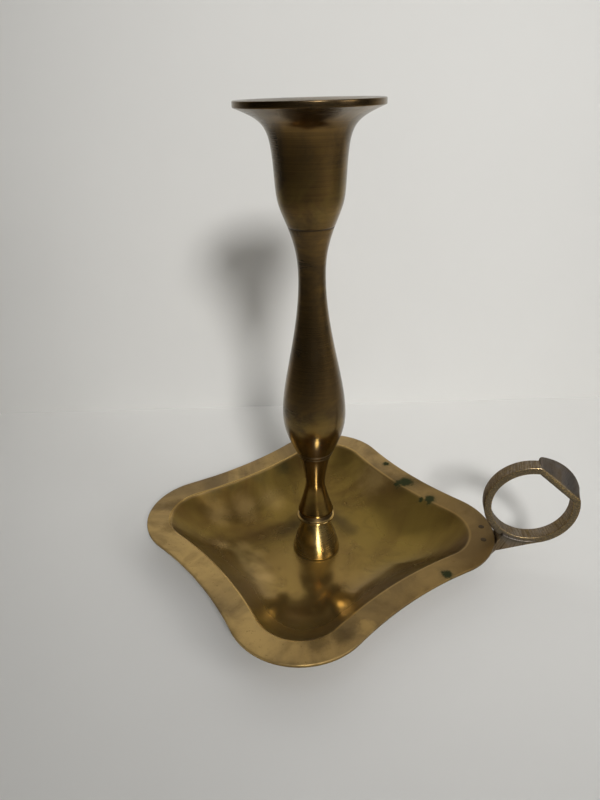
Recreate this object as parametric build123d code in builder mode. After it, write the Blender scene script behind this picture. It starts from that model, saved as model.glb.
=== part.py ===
"""Brass chamberstick: a square drip tray, a turned stem with a candle cup, and a finger loop.

Millimetres, +Z up. The origin is on the stem's axis, at the level of the table.
+X points along the tray's diagonal to the corner that carries the finger loop.
"""

import os
from math import acos, asin, atan2, cos, degrees, radians, sin, sqrt

from build123d import *

os.makedirs("parts", exist_ok=True)

# Tray
sheet = 1.3
tray_height = 15.0
corner_reach = 77.0
side_reach_share = 0.7727
corner_radius_share = 0.3662
rim_width = 10.2
floor_reach_share = 0.39
brim_bend = 2.1
bowl_sections = 7
rim_edge_round = 0.4

# Raised seat in the middle of the tray, with the nut's pocket under it
seat_radius = 7.4
seat_height = 5.0
seat_round = 1.2

# Turned stem, from the dish floor upwards
bell_height = 17.4
bell_base_radius = 10.4
bell_top_radius = 4.7
bell_round = 0.6
collar_height = 3.8
collar_bead_radius = 8.2
collar_bead_height = 1.2
collar_neck_radius = 7.1
spindle_height = 28.7
spindle_foot_radius = 7.6
spindle_foot_edge = 0.5
spindle_waist_radius = 4.1
spindle_waist_height = 14.0
knop_foot_radius = 7.1
baluster_height = 93.3
belly_radius = 12.65
belly_height = 19.6
neck_radius = 5.05
neck_height = 75.3
cup_foot_radius = 8.4
cup_height = 40.3
cup_waist_radius = 12.35
cup_waist_height = 16.2
lip_radius = 25.0
lip_edge = 2.1
lip_edge_round = 0.4
candle_radius = 11.15
candle_bore_length = 13.5
candle_bore_floor = 14.0
bore_end_depth = 6.0

# Ways in which the stem's curves leave and arrive (run out per rise), and how hard each end pulls
bell_start = (-0.18, 1)
bell_end = (-0.42, 1)
bell_pulls = (1.0, 1.0)
flare_start = (-0.36, 1)
flare_pulls = (1.0, 0.5)
spindle_end = (0.55, 1)
spindle_pulls = (0.46, 0.57)
knop_start = (0.425, 1)
knop_pulls = (1.1, 1.17)
pear_pulls = (0.75, 1.11)
neck_end = (0.376, 1)
neck_pulls = (1.1, 1.1)
bulb_start = (0.397, 1)
cup_waist_lean = (0.055, 1)
bulb_pulls = (1.34, 1.5)
lip_under = (1, 0.4)
tulip_pulls = (1.94, 1.3)
lip_inward = (-1, -0.12)
mouth_pulls = (1.5, 1.5)
upright = (0, 1)

# Joints of the stem
stud_radius = 2.5
stud_grip = 9.0
stud_tail = 0.8
spigot_radius = 3.0
spigot_length = 9.0
spigot_end_gap = 0.5
thread_clearance = 0.1
slip_clearance = 0.2
seat_clearance = 0.3
washer_radius = 5.3
washer_thickness = 0.8
nut_across_flats = 8.0
nut_height = 2.6

# Finger loop
ring_overreach = 12.6
ring_lift = 17.5
ring_bore_radius = 15.9
ring_thickness = 3.0
ring_width = 6.2
thumb_start_angle = 14.0
thumb_end_angle = 86.0
thumb_stand = 1.3
thumb_overhang = 0.9
tongue_thickness = 4.4
tongue_width = 8.0
tongue_spread = 15.0
tongue_inset = 7.6
tongue_toe = 1.4
web_gap = 0.6
web_angle = 235
tongue_end_round = 3.0
rivet_radius = 1.3
rivet_inset = 4.9
rivet_spacing = 8.6
rivet_head_radius = 2.3
rivet_head_height = 1.1
rivet_clearance = 0.05

# Length by which every cut runs past the faces that it opens
overrun = 1.0

# Heights of the faces where the stem's pieces meet
floor_top = sheet
bell_top = floor_top + bell_height
collar_top = bell_top + collar_height
spindle_top = collar_top + spindle_height
baluster_top = spindle_top + baluster_height
cup_top = baluster_top + cup_height
pocket_top = seat_height
seat_top = seat_height + sheet

# Tray outline: corner arcs and hollow side arcs that meet tangentially
side_reach = side_reach_share * corner_reach
corner_radius = corner_radius_share * corner_reach
corner_centre = corner_reach - corner_radius
corner_excess = corner_radius - side_reach
side_centre = (corner_centre**2 - corner_excess**2) / (2 * corner_excess + sqrt(2) * corner_centre)
side_radius = side_centre - side_reach
side_offset = side_centre / sqrt(2)
corner_half_angle = degrees(atan2(side_offset, side_offset - corner_centre))
side_half_angle = corner_half_angle - 45

# Bowl of the dish: its section is one arc from the flat floor up to the rim's inner edge
edge_reach = corner_reach - rim_width
floor_reach = floor_reach_share * corner_reach
bowl_run = edge_reach - floor_reach
bowl_rise = tray_height - sheet
bowl_radius = (bowl_run**2 + bowl_rise**2) / (2 * bowl_rise)
bowl_sweep = degrees(asin(bowl_run / bowl_radius))


def hollow_square(inset, share=1.0):
    """Sketch of the tray's outline, drawn in by inset all round and then scaled by share."""
    with BuildSketch() as outline:
        with BuildLine():
            for quarter in range(4):
                turn = 90 * quarter
                corner = Vector(share * corner_centre, 0).rotate(Axis.Z, turn)
                side = Vector(share * side_centre, 0).rotate(Axis.Z, turn + 45)
                corner_bend = share * (corner_radius - inset)
                side_bend = share * (side_radius + inset)
                CenterArc(corner, corner_bend, turn - corner_half_angle, 2 * corner_half_angle)
                CenterArc(side, side_bend, turn + 225 + side_half_angle, -2 * side_half_angle)
        make_face()
    return outline.sketch


# Tray
rivet_reach = corner_reach - rivet_inset


def bowl_slice(thickness, step):
    """Sketch of one level of the bowl, on its inside or thickness further out."""
    angle = radians(bowl_sweep * step / (bowl_sections - 1))
    reach = floor_reach + (bowl_radius + thickness) * sin(angle)
    level = sheet + bowl_radius - (bowl_radius + thickness) * cos(angle)
    return Plane.XY.offset(level) * hollow_square(rim_width, reach / edge_reach)


with BuildPart() as dish_hollow:
    loft([bowl_slice(0, step) for step in range(bowl_sections)])

with BuildPart() as tray:
    loft([bowl_slice(sheet, step) for step in range(bowl_sections)])
    with BuildSketch(Plane.XY.offset(tray_height - sheet)):
        add(hollow_square(0))
    extrude(amount=sheet)
    add(dish_hollow.part, mode=Mode.SUBTRACT)
    rim_top = tray.faces().sort_by(Axis.Z)[-1]
    fillet(rim_top.outer_wire().edges(), rim_edge_round)
    rim_top = tray.faces().sort_by(Axis.Z)[-1]
    fillet(rim_top.inner_wires()[0].edges(), brim_bend)
    with BuildSketch():
        Circle(seat_radius)
    extrude(amount=seat_top)
    seat_edges = tray.edges().filter_by(GeomType.CIRCLE).filter_by(lambda edge: edge.radius == seat_radius)
    fillet(seat_edges.sort_by(Axis.Z)[-1], seat_round)
    with BuildSketch():
        Circle(seat_radius - sheet)
    extrude(amount=pocket_top, mode=Mode.SUBTRACT)
    with BuildSketch():
        Circle(stud_radius + slip_clearance)
    extrude(amount=seat_top + overrun, mode=Mode.SUBTRACT)
    with BuildSketch(Plane.XY.offset(tray_height + overrun)):
        with Locations((rivet_reach, rivet_spacing / 2), (rivet_reach, -rivet_spacing / 2)):
            Circle(rivet_radius + rivet_clearance)
    extrude(amount=-sheet - 2 * overrun, mode=Mode.SUBTRACT)

tray.part.label = "tray"
export_step(tray.part, "parts/tray.step")

# Bell foot
with BuildPart() as bell_foot:
    with BuildSketch(Plane.XZ):
        with BuildLine():
            base = Line((0, floor_top), (bell_base_radius - bell_round, floor_top))
            roll = RadiusArc(base @ 1, (bell_base_radius, floor_top + bell_round), -bell_round)
            flank = Spline(
                roll @ 1,
                (bell_top_radius, bell_top),
                tangents=(bell_start, bell_end),
                tangent_scalars=bell_pulls,
            )
            Polyline(flank @ 1, (0, bell_top), base @ 0)
        make_face()
    revolve(axis=Axis.Z)
    with BuildSketch(Plane.XY.offset(floor_top)):
        Circle(seat_radius + seat_clearance)
    extrude(amount=seat_height, mode=Mode.SUBTRACT)
    with BuildSketch(Plane.XY.offset(floor_top)):
        Circle(stud_radius + slip_clearance)
    extrude(amount=bell_height + overrun, mode=Mode.SUBTRACT)

bell_foot.part.label = "bell_foot"
export_step(bell_foot.part, "parts/bell_foot.step")

# Foot collar: a bead below, a cove above it
bead_round = collar_bead_height / 2

with BuildPart() as foot_collar:
    with BuildSketch(Plane.XZ):
        with BuildLine():
            bore = Line((stud_radius + slip_clearance, collar_top), (stud_radius + slip_clearance, bell_top))
            under = Line(bore @ 1, (collar_bead_radius - bead_round, bell_top))
            bead = RadiusArc(under @ 1, under @ 1 + Vector(0, collar_bead_height), -bead_round)
            cove = RadiusArc(bead @ 1, (collar_neck_radius, collar_top), collar_height - bead_round)
            Line(cove @ 1, bore @ 0)
        make_face()
    revolve(axis=Axis.Z)

foot_collar.part.label = "foot_collar"
export_step(foot_collar.part, "parts/foot_collar.step")

# Foot spindle: flared foot, thin waist, and a spigot that screws into the knop
with BuildPart() as foot_spindle:
    with BuildSketch(Plane.XZ):
        with BuildLine():
            under = Line((0, collar_top), (spindle_foot_radius, collar_top))
            edge = Line(under @ 1, under @ 1 + Vector(0, spindle_foot_edge))
            flare = Spline(
                edge @ 1,
                (spindle_waist_radius, collar_top + spindle_waist_height),
                tangents=(flare_start, upright),
                tangent_scalars=flare_pulls,
            )
            flank = Spline(
                flare @ 1,
                (knop_foot_radius, spindle_top),
                tangents=(upright, spindle_end),
                tangent_scalars=spindle_pulls,
            )
            Polyline(
                flank @ 1,
                (spigot_radius, spindle_top),
                (spigot_radius, spindle_top + spigot_length),
                (0, spindle_top + spigot_length),
                under @ 0,
            )
        make_face()
    revolve(axis=Axis.Z)
    with BuildSketch(Plane.XY.offset(collar_top)):
        Circle(stud_radius + thread_clearance)
    extrude(amount=stud_grip + spigot_end_gap, mode=Mode.SUBTRACT)

foot_spindle.part.label = "foot_spindle"
export_step(foot_spindle.part, "parts/foot_spindle.step")

# Baluster: pear knop drawn out into the long neck, bored at both ends for the spigots
belly_level = spindle_top + belly_height
neck_level = spindle_top + neck_height
socket_depth = spigot_length + spigot_end_gap

with BuildPart() as baluster:
    with BuildSketch(Plane.XZ):
        with BuildLine():
            under = Line((0, spindle_top), (knop_foot_radius, spindle_top))
            knop = Spline(
                under @ 1,
                (belly_radius, belly_level),
                tangents=(knop_start, upright),
                tangent_scalars=knop_pulls,
            )
            pear = Spline(
                knop @ 1,
                (neck_radius, neck_level),
                tangents=(upright, upright),
                tangent_scalars=pear_pulls,
            )
            neck = Spline(
                pear @ 1,
                (cup_foot_radius, baluster_top),
                tangents=(upright, neck_end),
                tangent_scalars=neck_pulls,
            )
            Polyline(neck @ 1, (0, baluster_top), under @ 0)
        make_face()
    revolve(axis=Axis.Z)
    with BuildSketch(Plane.XY.offset(spindle_top)):
        Circle(spigot_radius + thread_clearance)
    extrude(amount=socket_depth, mode=Mode.SUBTRACT)
    with BuildSketch(Plane.XY.offset(baluster_top)):
        Circle(spigot_radius + thread_clearance)
    extrude(amount=-socket_depth, mode=Mode.SUBTRACT)

baluster.part.label = "baluster"
export_step(baluster.part, "parts/baluster.step")

# Candle cup: tulip outside, candle bore inside, lip flared out to a flat edge
cup_waist_level = baluster_top + cup_waist_height
bore_floor = baluster_top + candle_bore_floor
bore_mouth = bore_floor + candle_bore_length
bore_end_radius = (candle_radius**2 + bore_end_depth**2) / (2 * bore_end_depth)

with BuildPart() as candle_cup:
    with BuildSketch(Plane.XZ):
        with BuildLine():
            under = Line((0, baluster_top), (cup_foot_radius, baluster_top))
            bulb = Spline(
                under @ 1,
                (cup_waist_radius, cup_waist_level),
                tangents=(bulb_start, cup_waist_lean),
                tangent_scalars=bulb_pulls,
            )
            tulip = Spline(
                bulb @ 1,
                (lip_radius, cup_top - lip_edge),
                tangents=(cup_waist_lean, lip_under),
                tangent_scalars=tulip_pulls,
            )
            edge = Line(tulip @ 1, (lip_radius, cup_top))
            mouth = Spline(
                edge @ 1,
                (candle_radius, bore_mouth),
                tangents=(lip_inward, (0, -1)),
                tangent_scalars=mouth_pulls,
            )
            bore = Line(mouth @ 1, (candle_radius, bore_floor))
            end = RadiusArc(bore @ 1, (0, bore_floor - bore_end_depth), bore_end_radius)
            Line(end @ 1, under @ 0)
        make_face()
    revolve(axis=Axis.Z)
    lip_edges = candle_cup.edges().filter_by(GeomType.CIRCLE).sort_by(SortBy.RADIUS)[-2:]
    fillet(lip_edges, lip_edge_round)
    with BuildSketch(Plane.XY.offset(baluster_top)):
        Circle(spigot_radius)
    extrude(amount=-spigot_length)

candle_cup.part.label = "candle_cup"
export_step(candle_cup.part, "parts/candle_cup.step")

# Fixing stud, washer and nut
washer_under = pocket_top - washer_thickness
nut_under = washer_under - nut_height
stud_under = nut_under - stud_tail

with BuildPart() as fixing_stud:
    with BuildSketch(Plane.XY.offset(stud_under)):
        Circle(stud_radius)
    extrude(amount=collar_top + stud_grip - stud_under)
    chamfer(fixing_stud.edges().filter_by(GeomType.CIRCLE), stud_tail / 2)

fixing_stud.part.label = "fixing_stud"
export_step(fixing_stud.part, "parts/fixing_stud.step")

with BuildPart() as stud_washer:
    with BuildSketch(Plane.XY.offset(washer_under)):
        Circle(washer_radius)
        Circle(stud_radius + slip_clearance, mode=Mode.SUBTRACT)
    extrude(amount=washer_thickness)

stud_washer.part.label = "stud_washer"
export_step(stud_washer.part, "parts/stud_washer.step")

with BuildPart() as stud_nut:
    with BuildSketch(Plane.XY.offset(nut_under)):
        RegularPolygon(nut_across_flats / 2, 6, major_radius=False)
        Circle(stud_radius + thread_clearance, mode=Mode.SUBTRACT)
    extrude(amount=nut_height)

stud_nut.part.label = "stud_nut"
export_step(stud_nut.part, "parts/stud_nut.step")

# Finger ring: a band that is open where the thumb plate bridges it, and a tongue under the tray's corner
ring_reach = corner_reach + ring_overreach
ring_level = tray_height + ring_lift
ring_outer_radius = ring_bore_radius + ring_thickness
tongue_top = tray_height - sheet
tongue_under = tongue_top - tongue_thickness
tongue_start = corner_reach - tongue_inset
toe = Vector(corner_reach + tongue_toe, tongue_under)
toe_to_ring = Vector(ring_reach, ring_level) - toe
toe_angle = degrees(atan2(toe_to_ring.Y, toe_to_ring.X))
toe_turn = degrees(acos(ring_outer_radius / toe_to_ring.length))
touch_angle = toe_angle + 180 + toe_turn
touch = Vector(
    ring_reach + ring_outer_radius * cos(radians(touch_angle)),
    ring_level + ring_outer_radius * sin(radians(touch_angle)),
)


def on_ring(radius, angle):
    """Point of the loop's plane, at a radius and an angle about the loop's middle."""
    return Vector(ring_reach + radius * cos(radians(angle)), ring_level + radius * sin(radians(angle)))


with BuildPart() as finger_ring:
    with BuildSketch(Plane.XZ):
        with BuildLine():
            Polyline(
                (tongue_start, tongue_top),
                (tongue_start, tongue_under),
                toe,
                touch,
                on_ring(ring_bore_radius + ring_thickness / 2, touch_angle),
                (ring_reach, ring_level - ring_bore_radius - ring_thickness / 2),
                on_ring(ring_bore_radius + ring_thickness / 2, web_angle),
                (corner_reach + web_gap, tray_height),
                (corner_reach + web_gap, tongue_top),
                close=True,
            )
        make_face()
    extrude(amount=tongue_spread / 2, both=True)
    with BuildSketch(Plane.XY.offset(tongue_under - overrun)):
        with BuildLine():
            Polyline(
                (tongue_start, -tongue_spread / 2),
                (corner_reach - rivet_inset / 2, -tongue_spread / 2),
                (corner_reach + tongue_toe, -tongue_width / 2),
                (ring_reach + ring_outer_radius, -ring_width / 2),
                (ring_reach + ring_outer_radius, ring_width / 2),
                (corner_reach + tongue_toe, tongue_width / 2),
                (corner_reach - rivet_inset / 2, tongue_spread / 2),
                (tongue_start, tongue_spread / 2),
                close=True,
            )
        make_face()
    extrude(amount=ring_level, mode=Mode.INTERSECT)
    fillet(finger_ring.edges().filter_by(Axis.Z).group_by(Axis.X)[0], tongue_end_round)
    with BuildSketch(Plane.XZ):
        with Locations((ring_reach, ring_level)):
            Circle(ring_outer_radius)
    extrude(amount=ring_width / 2, both=True)
    with BuildSketch(Plane.XZ):
        with Locations((ring_reach, ring_level)):
            Circle(ring_bore_radius)
        with BuildLine():
            Polyline(
                (ring_reach, ring_level),
                on_ring(2 * ring_outer_radius, thumb_start_angle),
                on_ring(2 * ring_outer_radius, thumb_end_angle),
                close=True,
            )
        make_face()
    extrude(amount=tongue_spread, both=True, mode=Mode.SUBTRACT)
    with BuildSketch(Plane.XY.offset(tray_height)):
        with Locations((rivet_reach, rivet_spacing / 2), (rivet_reach, -rivet_spacing / 2)):
            Circle(rivet_radius + rivet_clearance)
    extrude(amount=-tray_height, mode=Mode.SUBTRACT)

finger_ring.part.label = "finger_ring"
export_step(finger_ring.part, "parts/finger_ring.step")

# Thumb plate: straight along the near side of the loop, bowed out along the far side
thumb_middle_angle = (thumb_start_angle + thumb_end_angle) / 2
thumb_bow_radius = ring_outer_radius + thumb_stand

with BuildPart() as thumb_plate:
    with BuildSketch(Plane.XZ.offset(ring_width / 2)):
        with BuildLine():
            Polyline(
                on_ring(ring_bore_radius, thumb_start_angle),
                on_ring(ring_outer_radius, thumb_start_angle),
                on_ring(ring_outer_radius, thumb_end_angle),
                on_ring(ring_bore_radius, thumb_end_angle),
                close=True,
            )
        make_face()
    with BuildSketch(Plane.XZ.offset(-ring_width / 2 - thumb_overhang)):
        with BuildLine():
            bow = ThreePointArc(
                on_ring(thumb_bow_radius, thumb_start_angle),
                on_ring(thumb_bow_radius, thumb_middle_angle),
                on_ring(thumb_bow_radius, thumb_end_angle),
            )
            Polyline(
                bow @ 1,
                on_ring(ring_bore_radius, thumb_end_angle),
                on_ring(ring_bore_radius, thumb_start_angle),
                bow @ 0,
            )
        make_face()
    loft(ruled=True)

thumb_plate.part.label = "thumb_plate"
export_step(thumb_plate.part, "parts/thumb_plate.step")

# Tongue rivets: flush on the rim, domed under the tongue
with BuildPart() as tongue_rivets:
    with BuildSketch(Plane.XY.offset(tray_height)):
        with Locations((rivet_reach, rivet_spacing / 2), (rivet_reach, -rivet_spacing / 2)):
            Circle(rivet_radius)
    extrude(amount=tongue_under - tray_height)
    with BuildSketch(Plane.XY.offset(tongue_under)):
        with Locations((rivet_reach, rivet_spacing / 2), (rivet_reach, -rivet_spacing / 2)):
            Circle(rivet_head_radius)
    extrude(amount=-rivet_head_height)
    fillet(
        tongue_rivets.faces().filter_by(Plane.XY).group_by(Axis.Z)[0].edges(),
        rivet_head_height / 2,
    )

tongue_rivets.part.label = "tongue_rivets"
export_step(tongue_rivets.part, "parts/tongue_rivets.step")
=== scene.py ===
"""Brass chamberstick: its finished pieces, tarnished brass and a plain studio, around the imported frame."""

import math

import bmesh
import bpy
from bpy.props import FloatProperty, FloatVectorProperty, IntProperty, PointerProperty
from mathutils import Matrix, Vector, noise


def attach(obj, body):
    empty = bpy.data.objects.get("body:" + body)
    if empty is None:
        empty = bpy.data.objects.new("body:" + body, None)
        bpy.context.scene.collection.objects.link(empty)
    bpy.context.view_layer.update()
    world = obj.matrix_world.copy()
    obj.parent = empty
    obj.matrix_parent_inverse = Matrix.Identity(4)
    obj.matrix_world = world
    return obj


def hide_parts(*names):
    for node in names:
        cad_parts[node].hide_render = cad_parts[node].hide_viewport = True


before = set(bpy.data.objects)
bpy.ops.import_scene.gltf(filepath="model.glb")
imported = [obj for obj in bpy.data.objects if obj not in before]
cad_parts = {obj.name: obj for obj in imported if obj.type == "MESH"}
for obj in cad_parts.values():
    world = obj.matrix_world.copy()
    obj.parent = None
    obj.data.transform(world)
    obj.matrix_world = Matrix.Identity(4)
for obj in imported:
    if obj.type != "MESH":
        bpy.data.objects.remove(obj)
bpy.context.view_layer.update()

bl_info = {
    "name": "Brass chamberstick",
    "version": (1, 0, 0),
    "blender": (4, 5, 0),
    "location": "View3D > Sidebar > Chamberstick",
    "description": "Builds the finished chamberstick, piece by piece, and a studio for it",
    "category": "Add Mesh",
}

BODY = "root"
UPRIGHT = (0.0, 1.0)
SMOOTH_ANGLE = math.radians(32)
TURN_SEGMENTS = 168

# Lengths in metres: a radius that counts as a pole, a gap that counts as none, and how far dark seams spread
POLE_RADIUS = 1e-7
HAIR = 1e-5
SEAM_SPREAD = 0.0004
HAIRLINE_SPREAD = 0.0003


def length(name, description, default):
    """A size in metres that a user may change."""
    return FloatProperty(name=name, description=description, default=default, unit="LENGTH", precision=5)


def angle(name, description, default):
    """An angle, given in degrees here and kept in radians."""
    return FloatProperty(name=name, description=description, default=math.radians(default), subtype="ANGLE")


def colour(name, description, default):
    """A linear colour."""
    return FloatVectorProperty(
        name=name, description=description, default=default, subtype="COLOR", min=0, max=1
    )


class TraySizes(bpy.types.PropertyGroup):
    """Sizes of the pressed tray."""

    sheet: length("Sheet", "Thickness of the sheet brass", 0.0013)
    height: length("Height", "From the table to the top of the rim", 0.015)
    corner_reach: length("Corner reach", "From the middle to a corner", 0.077)
    side_reach: length("Side reach", "From the middle to the middle of a hollow side", 0.0595)
    corner_radius: length("Corner radius", "Radius of the round corners", 0.0282)
    rim_width: length("Rim width", "Width of the flat rim", 0.0102)
    brim_bend: length("Brim bend", "Radius between rim and wall", 0.0021)
    floor_reach: length("Floor reach", "From the middle to the flat floor's end, towards a corner", 0.030)
    edge_round: length("Edge round", "Rounding of the rim's outer edge", 0.0004)
    seat_radius: length("Seat radius", "Radius of the raised seat under the bell", 0.0074)
    seat_height: length("Seat height", "Depth of the nut's pocket under the seat", 0.005)
    seat_round: length("Seat round", "Rounding of the seat's upper edge", 0.0012)
    hole_radius: length("Hole radius", "Radius of the stud's hole", 0.0027)
    ripple: length("Ripple", "Unevenness of the pressed floor", 0.00008)


class StemSizes(bpy.types.PropertyGroup):
    """Sizes of the turned stem."""

    bell_height: length("Bell height", "From the dish floor to the collar", 0.0174)
    bell_base_radius: length("Bell base radius", "Radius of the bell where it stands", 0.0104)
    bell_top_radius: length("Bell top radius", "Radius of the bell under the collar", 0.0047)
    bell_round: length("Bell round", "Rounding of the bell's lower edge", 0.0006)
    bell_recess: length("Bell recess", "Radius of the recess over the tray's seat", 0.0077)
    bore_radius: length("Bore radius", "Radius of the stud's clear hole", 0.0027)
    collar_height: length("Collar height", "Height of the collar", 0.0038)
    collar_bead_radius: length("Bead radius", "Radius over the collar's bead", 0.0082)
    collar_bead_height: length("Bead height", "Height of the collar's bead", 0.0012)
    collar_neck_radius: length("Collar neck radius", "Radius at the top of the collar's cove", 0.0071)
    spindle_height: length("Spindle height", "From the collar to the knop", 0.0287)
    spindle_foot_radius: length("Spindle foot radius", "Radius of the spindle's flared foot", 0.0076)
    spindle_foot_edge: length("Spindle foot edge", "Height of the upright edge of the foot", 0.0005)
    spindle_waist_radius: length("Spindle waist radius", "Smallest radius of the spindle", 0.0041)
    spindle_waist_height: length("Spindle waist height", "From the collar to the waist", 0.0140)
    knop_foot_radius: length("Knop foot radius", "Radius where the knop meets the spindle", 0.0071)
    baluster_height: length("Baluster height", "From the spindle to the cup", 0.0933)
    belly_radius: length("Belly radius", "Largest radius of the pear", 0.01265)
    belly_height: length("Belly height", "From the spindle to the belly", 0.0196)
    neck_radius: length("Neck radius", "Smallest radius of the long neck", 0.00505)
    neck_height: length("Neck height", "From the spindle to the neck", 0.0753)
    cup_foot_radius: length("Cup foot radius", "Radius where the cup meets the neck", 0.0084)
    cup_height: length("Cup height", "From the neck to the top of the lip", 0.0403)
    cup_waist_radius: length("Cup waist radius", "Radius at the cup's straight part", 0.01235)
    cup_waist_height: length("Cup waist height", "From the neck to the straight part", 0.0162)
    lip_radius: length("Lip radius", "Radius of the lip", 0.025)
    lip_edge: length("Lip edge", "Thickness of the lip's edge", 0.0021)
    lip_round: length("Lip round", "Rounding of the lip's edge", 0.0004)
    candle_radius: length("Candle bore radius", "Radius of the candle's bore", 0.01115)
    candle_bore_length: length("Candle bore length", "Length of the bore's straight wall", 0.0135)
    candle_bore_floor: length("Candle bore floor", "From the neck to the end of the straight wall", 0.014)
    bore_end_depth: length("Bore end depth", "Depth of the bore's round end", 0.006)
    spigot_radius: length("Spigot radius", "Radius of the screwed spigots", 0.003)
    spigot_length: length("Spigot length", "Length of the screwed spigots", 0.009)
    thread_clearance: length("Thread clearance", "Gap around spigots and stud", 0.0001)
    end_gap: length("End gap", "Gap beyond a spigot's end", 0.0005)
    seam_cut: length("Seam cut", "Depth of the scribed lines and seams", 0.00022)
    band_height: length("Band height", "From the knop's foot to its scribed line", 0.0018)


class LoopSizes(bpy.types.PropertyGroup):
    """Sizes of the finger loop, its thumb plate and its rivets."""

    overreach: length("Overreach", "From the tray's corner to the loop's middle", 0.0126)
    lift: length("Lift", "From the rim's top to the loop's middle", 0.0175)
    bore_radius: length("Loop bore radius", "Inner radius of the loop", 0.0159)
    thickness: length("Band thickness", "Thickness of the band", 0.003)
    width: length("Band width", "Width of the band", 0.0062)
    edge_round: length("Band edge round", "Rounding of the band's edges", 0.00045)
    thumb_start: angle("Thumb plate start", "Angle at the plate's lower end", 14)
    thumb_end: angle("Thumb plate end", "Angle at the plate's upper end", 86)
    thumb_stand: length("Thumb stand", "How far the plate stands over the band", 0.0013)
    thumb_overhang: length("Thumb overhang", "How far the plate passes the band's far side", 0.0009)
    tongue_thickness: length("Tongue thickness", "Thickness of the tongue", 0.0044)
    tongue_width: length("Tongue width", "Width of the tongue outside the tray", 0.008)
    tongue_spread: length("Tongue spread", "Width of the tongue under the rim", 0.015)
    tongue_inset: length("Tongue inset", "From the tray's corner to the tongue's end", 0.0076)
    tongue_toe: length("Tongue toe", "From the tray's corner to the tongue's bend", 0.0014)
    web_gap: length("Web gap", "From the tray's corner to the web that fills the bend", 0.0006)
    web_angle: angle("Web angle", "Angle on the loop where the web ends", 235)
    rivet_radius: length("Rivet radius", "Radius of the rivets", 0.0013)
    rivet_inset: length("Rivet inset", "From the tray's corner to the rivets", 0.0049)
    rivet_spacing: length("Rivet spacing", "Distance between the rivets", 0.0086)
    rivet_head_radius: length("Rivet head radius", "Radius of the heads below", 0.0023)
    rivet_head_height: length("Rivet head height", "Height of the heads below", 0.0011)
    rivet_count: IntProperty(name="Rivets", description="Number of rivets in the row", default=2, min=1)


class HardwareSizes(bpy.types.PropertyGroup):
    """Sizes of the stud, washer and nut under the tray."""

    stud_radius: length("Stud radius", "Outer radius of the thread", 0.0025)
    stud_tail: length("Stud tail", "How far the stud passes the nut", 0.0008)
    stud_grip: length("Stud grip", "How far the stud enters the spindle", 0.009)
    thread_pitch: length("Thread pitch", "Pitch of the stud's thread", 0.0008)
    thread_depth: length("Thread depth", "Depth of the stud's thread", 0.00038)
    washer_radius: length("Washer radius", "Outer radius of the washer", 0.0053)
    washer_thickness: length("Washer thickness", "Thickness of the washer", 0.0008)
    nut_flats: length("Nut across flats", "Width of the nut across its flats", 0.008)
    nut_height: length("Nut height", "Height of the nut", 0.0026)


class BrassColours(bpy.types.PropertyGroup):
    """Colours of the brass and of what has grown on it."""

    # rubbed brass also paints the highlight along the tray's inner brim bend
    rubbed: colour("Rubbed brass", "Bright brass where it is handled", (0.55, 0.36, 0.12))
    clean: colour("Clean brass", "Polished brass of the bell", (0.52, 0.385, 0.15))
    # pale brass also paints highlights, light and reflections in the dish and part of the highlight on the
    # loop's edges
    pale: colour("Pale brass", "Dry light brass of the rim", (0.55, 0.37, 0.14))
    tan: colour("Tan brass", "Duller clouds of the rim", (0.22, 0.15, 0.068))
    olive: colour("Olive brass", "Brass under a thin film", (0.24, 0.160, 0.036))
    brown: colour("Brown tarnish", "Old tarnish", (0.135, 0.078, 0.020))
    russet: colour("Russet", "Bare patches of the tarnished stem", (0.18, 0.103, 0.027))
    # umber also paints the shade beside the bell
    umber: colour("Umber tarnish", "Darkest clouds of the stem", (0.050, 0.031, 0.011))
    moss: colour("Moss tarnish", "Dark greenish smears", (0.075, 0.065, 0.028))
    # black also paints the shade in the collar's cove and down the candle bore
    black: colour("Black tarnish", "Tarnish in seams and hollows", (0.030, 0.022, 0.014))
    bronze: colour("Bronze tarnish", "Flat sides of the finger loop", (0.085, 0.070, 0.048))
    grey: colour("Grey tarnish", "Grey bloom on the finger loop", (0.21, 0.188, 0.168))
    verdigris: colour("Verdigris", "Green spots", (0.015, 0.022, 0.006))


class StageSettings(bpy.types.PropertyGroup):
    """Floor, backdrop, lamps and camera."""

    floor: colour("Floor", "Colour of the floor", (0.80, 0.79, 0.76))
    backdrop: colour("Backdrop", "Colour of the backdrop", (0.70, 0.69, 0.66))
    room: colour("Room", "Dim light from all round", (0.02, 0.02, 0.02))
    backdrop_distance: length("Backdrop distance", "From the stem to the backdrop", 0.141)
    camera_focus: FloatProperty(
        name="Focal length", description="In pixels of a picture 800 high", default=617, subtype="PIXEL"
    )
    camera_place: FloatVectorProperty(
        name="Camera", description="Place of the camera", default=(0.02831, -0.21855, 0.18908), unit="LENGTH"
    )
    camera_heading: angle("Heading", "Turn of the camera from +Y towards -X", 8.84)
    camera_pitch: angle("Pitch", "How far the camera looks down", 27.15)
    camera_roll: angle("Roll", "Turn of the picture", -1.58)


# Sections, meshes and pieces


def hermite(start, end, leave, arrive, pulls, steps):
    """Points of a section's curve after its start. leave and arrive are directions, pulls their strengths."""
    chord = math.hypot(end[0] - start[0], end[1] - start[1])
    points = []
    for step in range(1, steps + 1):
        t = step / steps
        near = 2 * t**3 - 3 * t**2 + 1
        out = (t**3 - 2 * t**2 + t) * chord * pulls[0]
        back = (t**3 - t**2) * chord * pulls[1]
        points.append(
            tuple(near * start[i] + out * leave[i] + (1 - near) * end[i] + back * arrive[i] for i in (0, 1))
        )
    return points


def fade(distance, spread):
    """One at no distance, falling off on both sides."""
    return math.exp(-((distance / spread) ** 2))


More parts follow.
